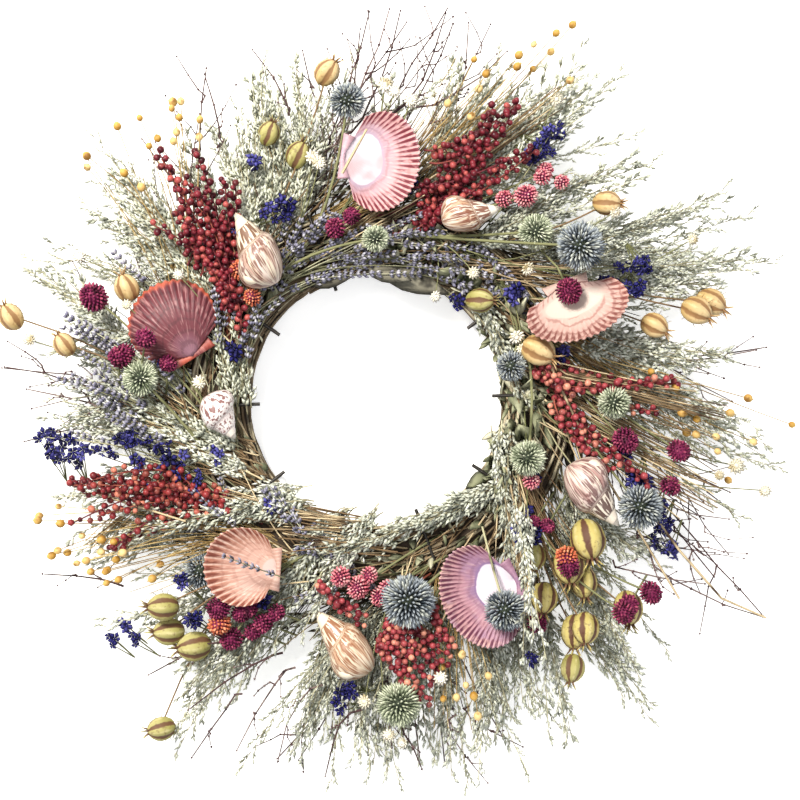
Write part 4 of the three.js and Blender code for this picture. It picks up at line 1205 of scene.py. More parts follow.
class Twigs:
    """Dark bare twigs that fork, with small buds."""

    BUD = turned_form("twig_bud", ((0, 0), (1, 0.4), (0, 1)), 5)
    SEED = 200
    FARTHEST = 304.0
    LONE = (
        (-26, 198, 18, 292), (-4, 210, 52, 289), (40, 208, 70, 285), (-40, 186, -18, 250),
        (30, 220, 98, 262), (-196, -4, -281, 24), (-200, -18, -262, 8), (-150, 150, -176, 196),
        (-70, -190, -140, -232), (-60, -200, -104, -262), (-40, -214, -74, -272), (-90, -180, -170, -206),
        (20, -240, 34, -276), (-10, -232, -38, -282), (206, -110, 290, -163), (196, -96, 256, -116),
        (178, -120, 246, -138), (70, -230, 110, -262), (60, -236, 84, -290), (-190, -140, -252, -132),
        (-100, -220, -138, -268), (-120, 190, -130, 246), (-66, 214, -92, 262),
    )

    def twig(self, growth: Growth, root: Vector, tip: Vector, thick: float, forks: int) -> None:
        """Grow one twig and its forks.

        Args:
            growth: the plant.
            root: its root.
            tip: its tip.
            thick: its radius at the root.
            forks: how many times its side twigs fork again.
        """
        chance = growth.chance
        curve = sweep(root, tip, chance.uniform(0.1, 0.4))
        reach = (tip - root).length
        count = max(5, int(reach / 14))
        places = sampled(curve, count)
        for place in places[1:-1]:
            place += Vector((chance.gauss(0, 0.9), chance.gauss(0, 0.9), chance.gauss(0, 0.5)))
        growth.stem(places, thick, 0.5 * thick, chance.random())
        for i in range(count // 3, count - 1):
            ahead = (places[i + 1] - places[i]).normalized()
            growth.put(Kind.FIRST, places[i] - ahead, ahead, (1.5 * thick, 1.5 * thick, 3.0))
            if forks and chance.random() < 0.75:
                side = across(ahead, chance.uniform(-0.7, 0.7) + (math.pi if i % 2 else 0))
                way = (ahead * chance.uniform(1.2, 2.2) + side).normalized()
                end = places[i] + way * reach * chance.uniform(0.12, 0.26)
                end *= min(1.0, self.FARTHEST / end.length)
                end.z = max(end.z, 6)
                self.twig(growth, places[i], end, 0.7 * thick, forks - 1)
        growth.put(Kind.FIRST, places[-1], (places[-1] - places[-2]).normalized(), (1.0, 1.0, 2.6))

    def build(self) -> None:
        """Build every bunch of twigs, then the single ones."""
        forms = [(self.BUD, "twig_bark")]
        for number, (name, bunch) in enumerate(TWIGS.items()):
            growth = Growth(self.SEED + number)
            chance = growth.chance
            for tip in bunch.tips:
                self.twig(growth, bunch.root(chance, 2), CAD.settled(name, tip), 1.0, 1)
            for _ in range(6):
                tip = bunch.between(chance, 12, 0.75)
                tip.z = chance.uniform(12, 40)
                self.twig(growth, bunch.root(chance, 10), tip, chance.uniform(0.7, 0.95), 1)
            PLANT.grow(growth, name + "_forked", "twig", "twig_bark", forms, [name])
        growth = Growth(self.SEED + 10)
        chance = growth.chance
        for x, y, tip_x, tip_y in self.LONE:
            root = Vector((x, y, chance.uniform(34, 50)))
            tip = Vector((tip_x, tip_y, chance.uniform(26, 44)))
            self.twig(growth, root, tip, chance.uniform(0.8, 1.0), 1)
        PLANT.grow(growth, "twigs_all_round", "twig", "twig_bark", forms)


class Pepperberries:
    """Stalks of small round berries, each on a short stem of its own.

    A bunch's kind is how many stalks it has besides the frame's own, how loose they are, and their colour.
    """

    BERRY = ball("berry", 4, 7)
    SEED = 300
    KINDS = {
        "pepperberries_left": (10, 1.0, "berry_dark"), "pepperberries_top": (5, 1.0, "berry_dark"),
        "pepperberries_right": (1, 0.9, "berry_pink"), "pepperberries_bottom": (0, 0.7, "berry_pink"),
        "pepperberries_bottom_left": (3, 1.25, "berry_orange"),
    }
    LONE = {
        "pepperberries_left": (
            (-130, 92, -166, 130, 68), (-112, 66, -116, 130, 72), (-140, 100, -162, 186, 66),
            (-102, 46, -118, 112, 66)),
        "pepperberries_top": ((36, 186, 106, 222, 64), (24, 158, 116, 186, 70), (40, 176, 92, 204, 68)),
        "pepperberries_right": (
            (116, 30, 220, 16, 66), (124, 26, 146, 4, 72), (132, 2, 154, -34, 70), (150, -24, 176, -52, 66),
            (176, 4, 210, -8, 62)),
        "pepperberries_bottom": (
            (14, -164, 42, -226, 66), (22, -162, 42, -210, 68), (8, -176, 34, -222, 64),
            (20, -164, 58, -178, 68), (46, -152, 58, -184, 66), (28, -178, 54, -196, 66),
            (34, -168, 56, -190, 64), (-38, -138, -6, -160, 66), (-30, -148, -8, -168, 62)),
        "pepperberries_bottom_left": (
            (-136, -66, -224, -64, 66), (-140, -76, -226, -92, 62), (-132, -88, -196, -112, 60)),
    }

    def stalk(self, growth: Growth, root: Vector, tip: Vector, start: float, loose: float = 1.0) -> None:
        """Grow one stalk with berries round its outer part.

        Args:
            growth: the plant.
            root: its root.
            tip: its tip.
            start: the share of its length that is bare.
            loose: how far its berries stand off and apart, as a share of the usual.
        """
        chance = growth.chance
        curve = sweep(root, tip, chance.uniform(0.25, 0.4))
        growth.stem(sampled(curve, 10), 0.9, 0.5, chance.random())
        length = (tip - root).length * (1 - start)
        berries = max(6, int(length / (2.5 * loose)))
        for i in range(berries):
            share = start + (1 - start) * (i + 0.5) / berries
            spot = curve(share)
            ahead = (curve(min(1, share + 0.03)) - spot).normalized()
            out = across(ahead, i * GOLDEN + chance.uniform(-0.4, 0.4))
            stand = loose * chance.uniform(2.2, 5.2) * (1.15 - 0.5 * (i / berries))
            place = spot + out * stand + ahead * chance.uniform(0, 2)
            size = chance.uniform(2.2, 3.0) * (0.9 + 0.1 * loose)
            growth.stem([spot - ahead * 1.5, place], 0.4, 0.35, 0.4)
            way = (out + ahead * 0.5).normalized()
            growth.put(Kind.FIRST, place, way, (size,) * 3, chance.random() ** 1.5)

    def build(self) -> None:
        """Build every bunch of berries."""
        for number, (name, bunch) in enumerate(BERRIES.items()):
            count, loose, colour = self.KINDS[name]
            growth = Growth(self.SEED + number)
            chance = growth.chance
            for tip in bunch.tips:
                self.stalk(growth, bunch.root(chance, 1), CAD.settled(name, tip), 0.3)
            for _ in range(count):
                tip = bunch.between(chance, 9, 0.66)
                tip.z += 4
                self.stalk(growth, bunch.root(chance, 3), tip, 0.35)
            for x, y, tip_x, tip_y, z in self.LONE[name]:
                self.stalk(growth, Vector((x, y, z - 8)), Vector((tip_x, tip_y, z)), 0.1, loose)
            PLANT.grow(growth, name + "_ripe", "pepperberry", "berry_stem", [(self.BERRY, colour)], [name])


class Flax:
    """Thin stems, each with a round golden boll."""

    BOLL = ball("boll", 6, 9, 0.35)
    SEED = 400
    BARE = 14
    LONE = ((64, -190), (67, -213), (49, -199), (60, -222), (73, -221), (50, -223), (84, -206), (76, -236))

    def boll(self, growth: Growth, root: Vector, tip: Vector, bow: float) -> None:
        """Grow one stem with its boll.

        Args:
            growth: the plant.
            root: its root.
            tip: its tip.
            bow: how far it bows clockwise.
        """
        places = sampled(sweep(root, tip, bow), 12)
        ahead = (places[-1] - places[-2]).normalized()
        growth.stem(places, 0.55, 0.32, growth.chance.random())
        growth.put(Kind.FIRST, tip - ahead * 1.2, ahead, (3.0, 3.0, 3.2))

    def build(self) -> None:
        """Build every bunch of flax, then the bolls at the bottom."""
        forms = [(self.BOLL, "flax_boll")]
        for number, (name, bunch) in enumerate(FLAX.items()):
            growth = Growth(self.SEED + number)
            chance = growth.chance
            tips = [CAD.settled(name, tip) for tip in bunch.tips]
            tips += [Vector((x, y, chance.uniform(34, 62))) for x, y in MORE_BOLLS[name]]
            for tip in tips:
                self.boll(growth, bunch.root(chance, 5), tip, chance.uniform(0.2, 0.4))
            for _ in range(self.BARE):
                tip = bunch.between(chance, 12, 0.5, 0.9)
                growth.bowed(bunch.root(chance, 6), tip, chance.uniform(0.2, 0.4), 10, 0.5, 0.22,
                             chance.random())
            PLANT.grow(growth, name + "_bolls", "flax", "flax_stem", forms, [name], spread=0.2)
        growth = Growth(self.SEED + 10)
        chance = growth.chance
        for x, y in self.LONE:
            self.boll(growth, Vector((50 + 0.2 * x, -136, 38)), Vector((x, y, 60)), 0.02)
        for i in range(self.BARE):
            tip = Vector((40 + 3.5 * i, chance.uniform(-250, -190), chance.uniform(50, 58)))
            growth.bowed(Vector((46 + i, -130, 36)), tip, 0.03, 8, 0.5, 0.25, chance.random())
        PLANT.grow(growth, "flax_bolls_bottom", "flax", "flax_stem", forms, spread=0.2)


class Lavender:
    """Grey violet spikes of small buds in whorls.

    More spikes lie in bands: from and to what angle, from and to how far out, and how many. None comes nearer
    than CLEAR to the middle of the peach scallop.
    """

    BUD = turned_form("lavender_calyx", ((0, 0), (1.2, 0.62), (0, 1)), 4)
    SEED = 500
    AT_HOLE = 44
    BANDS = ((150, 190, 165, 240, 22), (205, 262, 100, 170, 26), (20, 60, 105, 150, 12))
    SHELL = Vector((-99, -123))
    CLEAR = 44

    def spike(self, growth: Growth, root: Vector, tip: Vector, bow: float = 0.3) -> None:
        """Grow one spike.

        Args:
            growth: the plant.
            root: its root.
            tip: its tip.
            bow: how far it bows clockwise.
        """
        chance = growth.chance
        curve = sweep(root, tip, bow)
        reach = (tip - root).length
        growth.stem(sampled(curve, 9), 0.7, 0.4, chance.random())
        whorls = chance.randint(6, 9)
        wide = chance.uniform(0.8, 1.2)
        for i in range(whorls):
            share = 1 - (i * 3.4 + (4 if i > whorls - 3 else 0)) / reach
            if share < 0.1:
                break
            spot = curve(share)
            ahead = (curve(min(1, share + 0.02)) - spot if share < 0.98 else tip - curve(0.96)).normalized()
            for j in range(5):
                out = across(ahead, j * 0.4 * math.pi + i * 0.6)
                way = (ahead * chance.uniform(1.4, 2.6) + out).normalized()
                growth.put(Kind.FIRST, spot + out * 0.5, way, (wide, 0.9 * wide, chance.uniform(3.4, 5.6)))

    def build(self) -> None:
        """Build the bunch at the hole's upper edge, and the spikes that lie among the others."""
        forms = [(self.BUD, "lavender_bud")]
        for name, bunch in LAVENDERS.items():
            growth = Growth(self.SEED)
            chance = growth.chance
            for tip in bunch.tips:
                self.spike(growth, bunch.root(chance, 2), CAD.settled(name, tip))
            for _ in range(self.AT_HOLE):
                angle = chance.uniform(52, 150)
                tip = polar(angle, chance.uniform(94, 150), chance.uniform(50, 66))
                root = RING.on_surface(angle + chance.uniform(26, 60), chance.uniform(80, 135), 3)
                self.spike(growth, root, tip, 0.25)
            PLANT.grow(growth, name + "_spikes", "lavender", "lavender_stem", forms, [name], 3)
        growth = Growth(self.SEED + 10)
        chance = growth.chance
        for low, high, near, far, count in self.BANDS:
            for _ in range(count):
                angle = chance.uniform(low, high)
                tip = polar(angle, chance.uniform(near, far), chance.uniform(40, 66))
                root = RING.on_surface(angle + chance.uniform(20, 44), chance.uniform(30, 120), 2)
                if (tip.xy - self.SHELL).length > self.CLEAR:
                    self.spike(growth, root, tip)
        self.spike(growth, Vector((-66, -130, 84)), Vector((-108, -114, 95)), 0.02)
        PLANT.grow(growth, "lavender_all_round", "lavender", "lavender_stem", forms, sides=3)


class Larkspur:
    """Deep blue flowers, up the end of a stem or in small clusters among the rest.

    A cluster is its place, its radius and how full it is.
    """

    FLORET = flower("larkspur_floret", 5, 1, 0.36, 1.0, 0.14, 2)
    SEED = 600
    CLUSTERS = (
        (-75, 140, 64, 8, 9), (-66, 146, 62, 5, 5), (-105, 37, 64, 4, 4), (-90, 178, 58, 3, 3),
        (-107, 126, 62, 5, 4), (124, 188, 62, 7, 9), (133, 200, 58, 6, 8), (116, 184, 60, 3, 4),
        (60, 74, 58, 4, 4), (102, 78, 64, 5, 6), (136, 34, 64, 5, 6), (197, 100, 60, 6, 8),
        (194, 82, 58, 5, 7), (-246, -28, 48, 6, 7), (-238, -40, 50, 6, 7), (-222, -42, 54, 7, 7),
        (-185, -28, 60, 6, 8), (-176, -46, 62, 4, 5), (-158, -38, 64, 7, 6), (-148, -48, 64, 9, 7),
        (-136, -60, 62, 7, 6), (-118, -40, 60, 5, 4), (-166, -68, 58, 4, 4), (-145, -135, 56, 4, 6),
        (-135, -164, 56, 4, 7), (-190, -170, 34, 3, 3), (-200, -181, 32, 4, 5), (-182, -180, 34, 4, 5),
        (-78, -78, 62, 3, 3), (-84, -146, 60, 4, 4), (-22, -216, 58, 5, 8), (-27, -228, 52, 4, 5),
        (112, -100, 64, 8, 14), (116, -192, 54, 3, 4), (196, -60, 60, 6, 8), (186, -38, 58, 4, 4),
        (211, -82, 54, 5, 7), (216, -95, 54, 5, 7), (222, -110, 50, 4, 5), (26, 162, 58, 3, 3),
        (-160, 34, 66, 5, 5), (118, -58, 60, 3, 3),
    )

    def head(self, growth: Growth, root: Vector, tip: Vector, flowers: int, length: float) -> None:
        """Grow one stem with its flowers.

        Args:
            growth: the plant.
            root: its root.
            tip: its tip.
            flowers: how many flowers it has.
            length: how much of it they take up.
        """
        chance = growth.chance
        curve = sweep(root, tip, chance.uniform(0.2, 0.4))
        reach = max((tip - root).length, 1.0)
        growth.stem(sampled(curve, 9), 0.8, 0.4, chance.random())
        ahead = (curve(1.0) - curve(0.9)).normalized()
        for i in range(flowers):
            spot = curve(max(0.2, 1 - length / reach * i / flowers))
            out = across(ahead, i * GOLDEN)
            place = spot + out * chance.uniform(1.0, 2.5)
            growth.stem([spot, place], 0.35, 0.3, 0.3)
            growth.put(Kind.FIRST, place, (out + ahead * 0.4).normalized(), (chance.uniform(3.6, 5.6),) * 3)

    def build(self) -> None:
        """Build the frame's three bunches, and the clusters that show among the rest."""
        forms = [(self.FLORET, "larkspur_petal")]
        for number, (name, bunch) in enumerate(LARKSPURS.items()):
            growth = Growth(self.SEED + number)
            for tip in bunch.tips:
                self.head(growth, bunch.root(growth.chance, 1), CAD.settled(name, tip), 8, 18)
            PLANT.grow(growth, name + "_flowers", "larkspur", "green_stem", forms, [name])
        growth = Growth(self.SEED + 10)
        chance = growth.chance
        for x, y, z, radius, count in self.CLUSTERS:
            middle = Vector((x, y, z))
            flowers = max(3, int(0.75 * count))
            radius *= 1.2
            stalk = middle - clockwise(middle) * 22 - UP * 20
            for i in range(flowers):
                away = radius * math.sqrt((i + 0.5) / flowers)
                x_off, y_off = away * math.cos(i * GOLDEN), away * math.sin(i * GOLDEN)
                spot = middle + Vector((x_off, y_off, chance.uniform(-5, 2)))
                growth.stem([stalk, spot], 0.5, 0.35, 0.3)
                way = Vector((chance.gauss(0, 0.5), chance.gauss(0, 0.5), 1)).normalized()
                growth.put(Kind.FIRST, spot, way, (chance.uniform(4.4, 6.6),) * 3)
        PLANT.grow(growth, "larkspur_all_round", "larkspur", "green_stem", forms)


class Head(Enum):
    """The round heads that stand out from the foliage."""

    BLUE_THISTLE = "globe_thistle_blue"
    GREEN_THISTLE = "globe_thistle_green"
    AMARANTH = "amaranth_scale"
    PINK = "pink_scale"
    ORANGE = "orange_scale"


class RoundHeads:
    """Globe thistles, amaranths and everlastings: a core with many bristles or scales set evenly round it."""

    BRISTLE = turned_form("thistle_bristle", ((0, 0), (0.55, 0.3), (1.0, 0.78), (0, 1)), 4)
    SCALE = turned_form("papery_scale", ((0, 0), (1.0, 0.35), (0.8, 0.7), (0, 1)), 4, bend=0.3)
    CORE = ball("core", 6, 10)
    SEED = 700
    ON_SCALLOP = {"globe_thistle_on_scallop": Bunch(318, 80, ((95, -154, 110, 15),))}
    LONE = (
        (Head.AMARANTH, "amaranth", "purple_amaranth", (
            (-30, 127, 66, 8), (-18, 136, 64, 7), (127, -93, 66, 6), (118, -90, 62, 5), (120, -166, 58, 8),
            (-95, -154, 60, 8), (-84, -166, 56, 8), (-74, -158, 58, 7), (-92, -173, 52, 7), (219, -64, 56, 8),
            (-189, 32, 66, 9), (188, -152, 60, 8), (-153, 27, 70, 7), (-167, 45, 91, 8))),
        (Head.ORANGE, "orange_everlasting", "pink_everlasting", (
            (-100, 96, 70, 8), (-91, 76, 68, 7), (-116, -166, 62, 9), (141, -116, 70, 9))),
        (Head.PINK, "pink_everlasting", "pink_everlasting", (
            (124, 166, 60, 7), (95, 149, 62, 7), (-26, -131, 64, 8), (-5, -130, 62, 7), (8, -140, 60, 7),
            (138, 162, 58, 6), (115, -60, 64, 7))),
    )

    def head(self, growth: Growth, place: Vector, size: float, count: int, bristle: float,
             width: float, long: float = 1.0, axis: Vector = UP) -> None:
        """Set the bristles of one head.

        Args:
            growth: the plant.
            place: the head's middle.
            size: its radius to the bristles' tips.
            count: how many bristles it has.
            bristle: a bristle's length as a share of the size.
            width: half a bristle's width.
            long: how much longer the head is than wide.
            axis: the way it is long.
        """
        core = size * (1 - bristle)
        growth.put(Kind.SECOND, place, axis, (core * 1.04, core * 1.04, core * 1.04 * long), 0.5)
        for i in range(count):
            height = 1 - 2 * (i + 0.5) / count
            turn = i * GOLDEN
            wide = math.sqrt(1 - height * height)
            way = facing(axis) @ Vector((wide * math.cos(turn), wide * math.sin(turn), height))
            stretch = Vector(way) + axis * (way.dot(axis) * (long - 1))
            length = size * bristle * growth.chance.uniform(0.9, 1.08) * 1.12
            growth.put(Kind.FIRST, place + stretch * core * 0.94, way, (width, width, length))

    def stalked(self, growth: Growth, bunch: Bunch, place: Vector, thick: float) -> None:
        """Give a head its stalk."""
        growth.bowed(bunch.root(growth.chance, 1.5), place, 0.35, 10, thick, 0.8 * thick, 0.6)

    def thistle(self, growth: Growth, name: str, bunch: Bunch, tip: Sequence[float]) -> None:
        """Grow one globe thistle.

        Args:
            growth: the plant.
            name: the node that it stands for.
            bunch: its bunch.
            tip: its place and size.
        """
        size = tip[3]
        if name in self.ON_SCALLOP:
            place = Vector((tip[0], tip[1], sum(CAD.heights(name)) / 2))
            growth.stem([place, place + Vector((-8, 28, -8)), place + Vector((-16, 60, -20))], 1.1, 0.9, 1.0)
        else:
            place = CAD.settled(name, tip[:3], 1.02 * size)
            self.stalked(growth, bunch, place, 1.3)
        self.head(growth, place, 1.06 * size, int(0.8 * size * size) + 70, 0.58, 0.044 * size + 0.12)

    def thistles(self) -> None:
        """Build the globe thistles, the blue ones and the green ones as a piece each."""
        for number, (name, bunch) in enumerate({**THISTLES, **self.ON_SCALLOP}.items()):
            for colour in (Head.BLUE_THISTLE, Head.GREEN_THISTLE):
                growth = Growth(self.SEED + number)
                green = colour is Head.GREEN_THISTLE
                tips = [t for t in bunch.tips if ((t[0], t[1]) in GREEN_THISTLES) == green]
                for tip in tips:
                    self.thistle(growth, name, bunch, tip)
                if tips:
                    # The dark core is painted shade between the bristles.
                    forms = [(self.BRISTLE, colour.value), (self.CORE, "thistle_core")]
                    PLANT.grow(growth, f"{name}_{colour.name.lower()}", "globe_thistle", "green_stem", forms,
                               [name], 5, 0.08)

    def scaly(self, growth: Growth, name: str, slot: str, colour: Head, nodes: Sequence[str],
              sides: int = 5) -> None:
        """Hand over heads with papery scales, once they have grown."""
        forms = [(self.SCALE, colour.value), (self.CORE, Head.AMARANTH.value)]
        PLANT.grow(growth, name, slot, "green_stem", forms, nodes, sides, 0.15)

    def bunches(self, table: dict[str, Bunch], colour: Head, slot: str) -> None:
        """Build the frame's bunches of heads with papery scales.

        Args:
            table: the bunches.
            colour: the heads' kind.
            slot: their material slot's name, which is passed on but not used.
        """
        for number, (name, bunch) in enumerate(table.items()):
            growth = Growth(self.SEED + 60 + number)
            for tip in bunch.tips:
                size = tip[3]
                place = CAD.settled(name, tip[:3], 1.06 * size)
                axis = (clockwise(place) * 0.5 + outwards(place) + UP * 0.8).normalized()
                self.stalked(growth, bunch, place, 1.0)
                self.head(growth, place, size, int(14 * size), 0.34, 0.085 * size + 0.15, 1.18, axis)
            self.scaly(growth, name + "_heads", slot, colour, [name])

    def build(self) -> None:
        """Build all round heads."""
        self.thistles()
        self.bunches(AMARANTHS, Head.AMARANTH, "purple_amaranth")
        self.bunches(PINKS, Head.PINK, "pink_everlasting")
        for number, (colour, label, slot, places) in enumerate(self.LONE):
            growth = Growth(self.SEED + 90 + number)
            for x, y, z, size in places:
                place = Vector((x, y, z))
                axis = (clockwise(place) * 0.4 + outwards(place) + UP).normalized()
                growth.stem([place - clockwise(place) * 26 - UP * 24, place], 0.9, 0.7, 0.6)
                self.head(growth, place, size, int(11 * size), 0.38, 0.11 * size + 0.2, 1.15, axis)
            self.scaly(growth, label + "_all_round", slot, colour, (), 4)
        growth = Growth(self.SEED + 80)
        name = "amaranth_on_scallop"
        place = Vector((142, 80, sum(CAD.heights(name)) / 2))
        growth.stem([place, place + Vector((-8, 18, -5)), place + Vector((-26, 38, -18))], 1.0, 0.8, 0.6)
        self.head(growth, place, 10.4, 150, 0.34, 0.95, 1.1, Vector((0.2, -0.4, 0.9)).normalized())
        self.scaly(growth, name + "_head", "purple_amaranth", Head.AMARANTH, [name])


class WhiteFlowers:
    """Small white and cream everlastings."""

    BLOOM = flower("white_bloom", 11, 2, 0.24, 1.15, 0.34, 3)
    SEED = 800
    PLACES = (
        (-145, 92, 74), (-184, 70, 68), (-130, 13, 72), (14, 229, 62), (-47, 180, 60), (72, 94, 68),
        (112, 97, 72), (44, 77, 60), (104, 47, 66), (108, 38, 66), (177, 139, 66), (-8, -224, 60),
        (48, -206, 64), (10, -250, 54), (20, -256, 50), (-222, 107, 50), (-260, 45, 46), (134, 224, 56),
        (269, -49, 52), (292, -68, 44), (256, -56, 54), (236, 120, 54), (-42, 176, 60), (-96, 96, 64),
    )

    def build(self) -> None:
        """Build the frame's flowers and the ones among the rest."""
        forms = [(self.BLOOM, "white_petal")]
        for name, bunch in WHITES.items():
            growth = Growth(self.SEED)
            for tip in bunch.tips:
                place = CAD.settled(name, tip[:3], math.hypot(tip[3], 0.8))
                growth.bowed(bunch.root(growth.chance, 1), place, 0.35, 9, 0.8, 0.6, 0.6)
                growth.put(Kind.FIRST, place, (UP + clockwise(place) * 0.3).normalized(), (tip[3],) * 3, 0.9)
            PLANT.grow(growth, name + "_blooms", "white_everlasting", "green_stem", forms, [name])
        growth = Growth(self.SEED + 1)
        chance = growth.chance
        for x, y, z in self.PLACES:
            place = Vector((x, y, z))
            root = RING.on_surface(math.degrees(math.atan2(y, x)) + chance.uniform(12, 30), 75, 1)
            size = chance.uniform(5.0, 7.0)
            growth.bowed(root, place, 0.35, 8, 0.6, 0.45, 0.6)
            way = (UP + clockwise(place) * chance.uniform(0, 0.8)).normalized()
            growth.put(Kind.FIRST, place, way, (size,) * 3, chance.uniform(0.4, 1))
        PLANT.grow(growth, "white_everlastings_all_round", "white_everlasting", "green_stem", forms)


class Carved:
    """A form made corner by corner, with the numbers that its material reads."""

    def __init__(self, name: str, *marks: str) -> None:
        """Start empty.

        Args:
            name: the piece's name.
            *marks: the names of the numbers that every corner carries.
        """
        self.name = name
        self.spots: list[Vector] = []
        self.faces: list[Face] = []
        self.marks: dict[str, list[float]] = {mark: [] for mark in marks}

    def corner(self, spot: Vector, *values: float) -> int:
        """Add a corner.

        Args:
            spot: its place.
            *values: the numbers it carries.

        Returns:
            Its own number.
        """
        self.spots.append(spot)
        for mark, value in zip(self.marks, values):
            self.marks[mark].append(value)
        return len(self.spots) - 1

    def settle(self, matrix: Matrix, node: str) -> None:
        """Move the form, then lift or lower it until it stands at the height of its node.

        Args:
            matrix: the move.
            node: the node's name.
        """
        low, high = CAD.heights(node)
        heights = [(matrix @ spot).z for spot in self.spots]
        lift = Matrix.Translation((0, 0, (low + high - min(heights) - max(heights)) / 2))
        self.spots = [lift @ (matrix @ spot) for spot in self.spots]

    def piece(self, material: Material) -> bpy.types.Object:
        """Make the form as a smooth plain mesh whose faces look outwards.

        Args:
            material: its material.

        Returns:
            The piece, at the origin.
        """
        mesh = bpy.data.meshes.new(self.name)
        mesh.from_pydata(CAD.metres([tuple(s) for s in self.spots]).tolist(), [], self.faces)
        for mark, values in self.marks.items():
            mesh.attributes.new(mark, "FLOAT", "POINT").data.foreach_set("value", values)
        shaped = bmesh.new()
        shaped.from_mesh(mesh)
        bmesh.ops.recalc_face_normals(shaped, faces=shaped.faces)
        shaped.to_mesh(mesh)
        shaped.free()
        mesh.materials.append(material)
        mesh.polygons.foreach_set("use_smooth", [True] * len(mesh.polygons))
        return shown(self.name, mesh)


@dataclass(frozen=True)
class PodFinish:
    """The papery skin of a seed pod, with a dark stripe down every lobe and a painted highlight along every
    lobe's ridge.
    """

    name: str
    skin: str
    top: str
    stripe: str
    # The colour of the painted highlight on the ridges.
    ridge_highlight: str = "d6cc9c"

    def material(self) -> Material:
        """Build the material.

        Returns:
            The material.
        """
        paint = Paint(self.name)
        wobble = paint.math("ADD", paint.attribute("lobe"), paint.sway(170, 5.0, 0.7))
        skin = paint.mix(paint.ramp(paint.attribute("along"), 0.1, 0.9), self.skin, self.top)
        # The pale coat on the lobes' ridges is a painted highlight.
        skin = paint.layers(
            skin, (paint.ramp(wobble, 0.42, 0.14, 0.9), self.stripe),
            (paint.ramp(wobble, 0.85, 1.15, 0.6), self.ridge_highlight),
            (paint.ramp(paint.noise(330, 2.0), 0.56, 0.7, 0.45), self.stripe))
        return paint.done(skin, paint.noise(420), 0.25, Roughness=0.65, Specular_IOR_Level=0.35)


class SeedPods:
    """Love-in-a-mist pods: inflated, five lobed, with five horns and thread-like leaves below."""

    SEED = 850
    SIDES = 40
    LOBES = 5
    HORN = ((0, 0.09), (0.35, 0.07), (0.7, 0.045))
    SKINS = {"seed_pods_bottom_right": "striped", "seed_pods_bottom_left": "olive"}
    LONE = {
        "pale": ((121, 36, 68, 11), (-185, 84, 60, 9)),
        "striped": ((157, -104, 66, 13),),
        "olive": (
            (117, -117, 60, 9), (-58, 184, 48, 9), (-80, 200, 48, 8), (78, 74, 60, 9), (146, -200, 58, 9)),
    }
    PROFILE = (
        (0.35, -0.93), (0.66, -0.76), (0.86, -0.5), (0.95, -0.2), (0.96, 0.1), (0.84, 0.4), (0.58, 0.68),
        (0.26, 0.86))
    FINISHES = {
        "pale": PodFinish("pod_pale", "b89a62", "ccb284", "86603a"),
        "striped": PodFinish("pod_striped", "aea05a", "c0b06c", "4c1e22"),
        "olive": PodFinish("pod_olive", "96904e", "aca468", "603a2c"),
    }

    def pod(self, form: Carved, place: Vector, size: float) -> None:
        """Add one pod.

        Args:
            form: the piece it belongs to.
            place: its middle.
            size: its radius.
        """
        size *= 1.1
        way = outwards(place) + clockwise(place)
        way.z = 0.5
        turn = UP.rotation_difference(way.normalized())
        base = form.corner(place + turn @ Vector((0, 0, -1.2 * size)), 0.0, 0.0)
        rows = []
        for radius, height in self.PROFILE:
            row = []
            for j in range(self.SIDES):
                angle = TURN * j / self.SIDES
                lobe = 0.5 + 0.5 * math.cos(self.LOBES * angle)
                wide = size * radius * (0.84 + 0.16 * lobe ** 0.6)
                spot = Vector((wide * math.cos(angle), wide * math.sin(angle), 1.18 * height * size))
                row.append(form.corner(place + turn @ spot, (height + 1) / 1.8, lobe))
            rows.append(row)
        crown = form.corner(place + turn @ Vector((0, 0, 0.97 * size)), 1.0, 0.0)
        form.faces += skinned(base, rows, crown)
        for j in range(self.LOBES):
            self.horn(form, place, turn @ Quaternion(UP, TURN * (j + 0.5) / self.LOBES), size)

    def horn(self, form: Carved, place: Vector, turn: Quaternion, size: float) -> None:
        """Add one curved horn on a pod's crown.

        Args:
            form: the piece it belongs to.
            place: the pod's middle.
            turn: its turn from leaning to +X.
            size: the pod's radius.
        """
        rows = []
        for share, radius in self.HORN:
            middle = Vector(((0.2 + 0.42 * share ** 1.4), 0, 0.98 + 0.6 * share)) * size
            row = []
            for i in range(5):
                spot = middle + Vector((math.cos(TURN * i / 5), math.sin(TURN * i / 5), 0)) * radius * size
                row.append(form.corner(place + turn @ spot, 0.9, 0.6 * share))
            rows.append(row)
        root, tip = (form.corner(place + turn @ (Vector(spot) * size), 0.9, 0.6)
                     for spot in ((0.2, 0, 0.94), (0.66, 0, 1.58)))
        form.faces += skinned(root, rows, tip)

    def build(self) -> None:
        """Build every bunch of pods with its stalks."""
        finishes = {skin: finish.material() for skin, finish in self.FINISHES.items()}
        for number, (name, bunch) in enumerate(PODS.items()):
            growth = Growth(self.SEED + number)
            form = Carved(name + "_ribbed", "along", "lobe")
            for tip in bunch.tips:
                size = tip[3]
                place = CAD.settled(name, tip[:3], 1.669 * size)
                growth.stem(sampled(sweep(bunch.root(growth.chance, 1), place), 10, 0.97), 0.9, 0.7, 0.4)
                for i in range(12):
                    out = across(UP, i * GOLDEN)
                    bend = place - UP * 0.7 * size + out * size
                    end = place + out * size * 1.35 + UP * growth.chance.uniform(-2, 8)
                    growth.stem([place - UP * size, bend, end], 0.35, 0.15, 0.4)
                self.pod(form, place, size)
            finished(form.piece(finishes[self.SKINS.get(name, "pale")]), [name])
            PLANT.grow(growth, name + "_stalks", "seed_pod", "straw_stem", nodes=[name], sides=5)
        for skin, places in self.LONE.items():
            form = Carved(f"seed_pods_all_round_{skin}", "along", "lobe")
            for x, y, z, size in places:
                self.pod(form, Vector((x, y, z)), size)
            finished(form.piece(finishes[skin]))


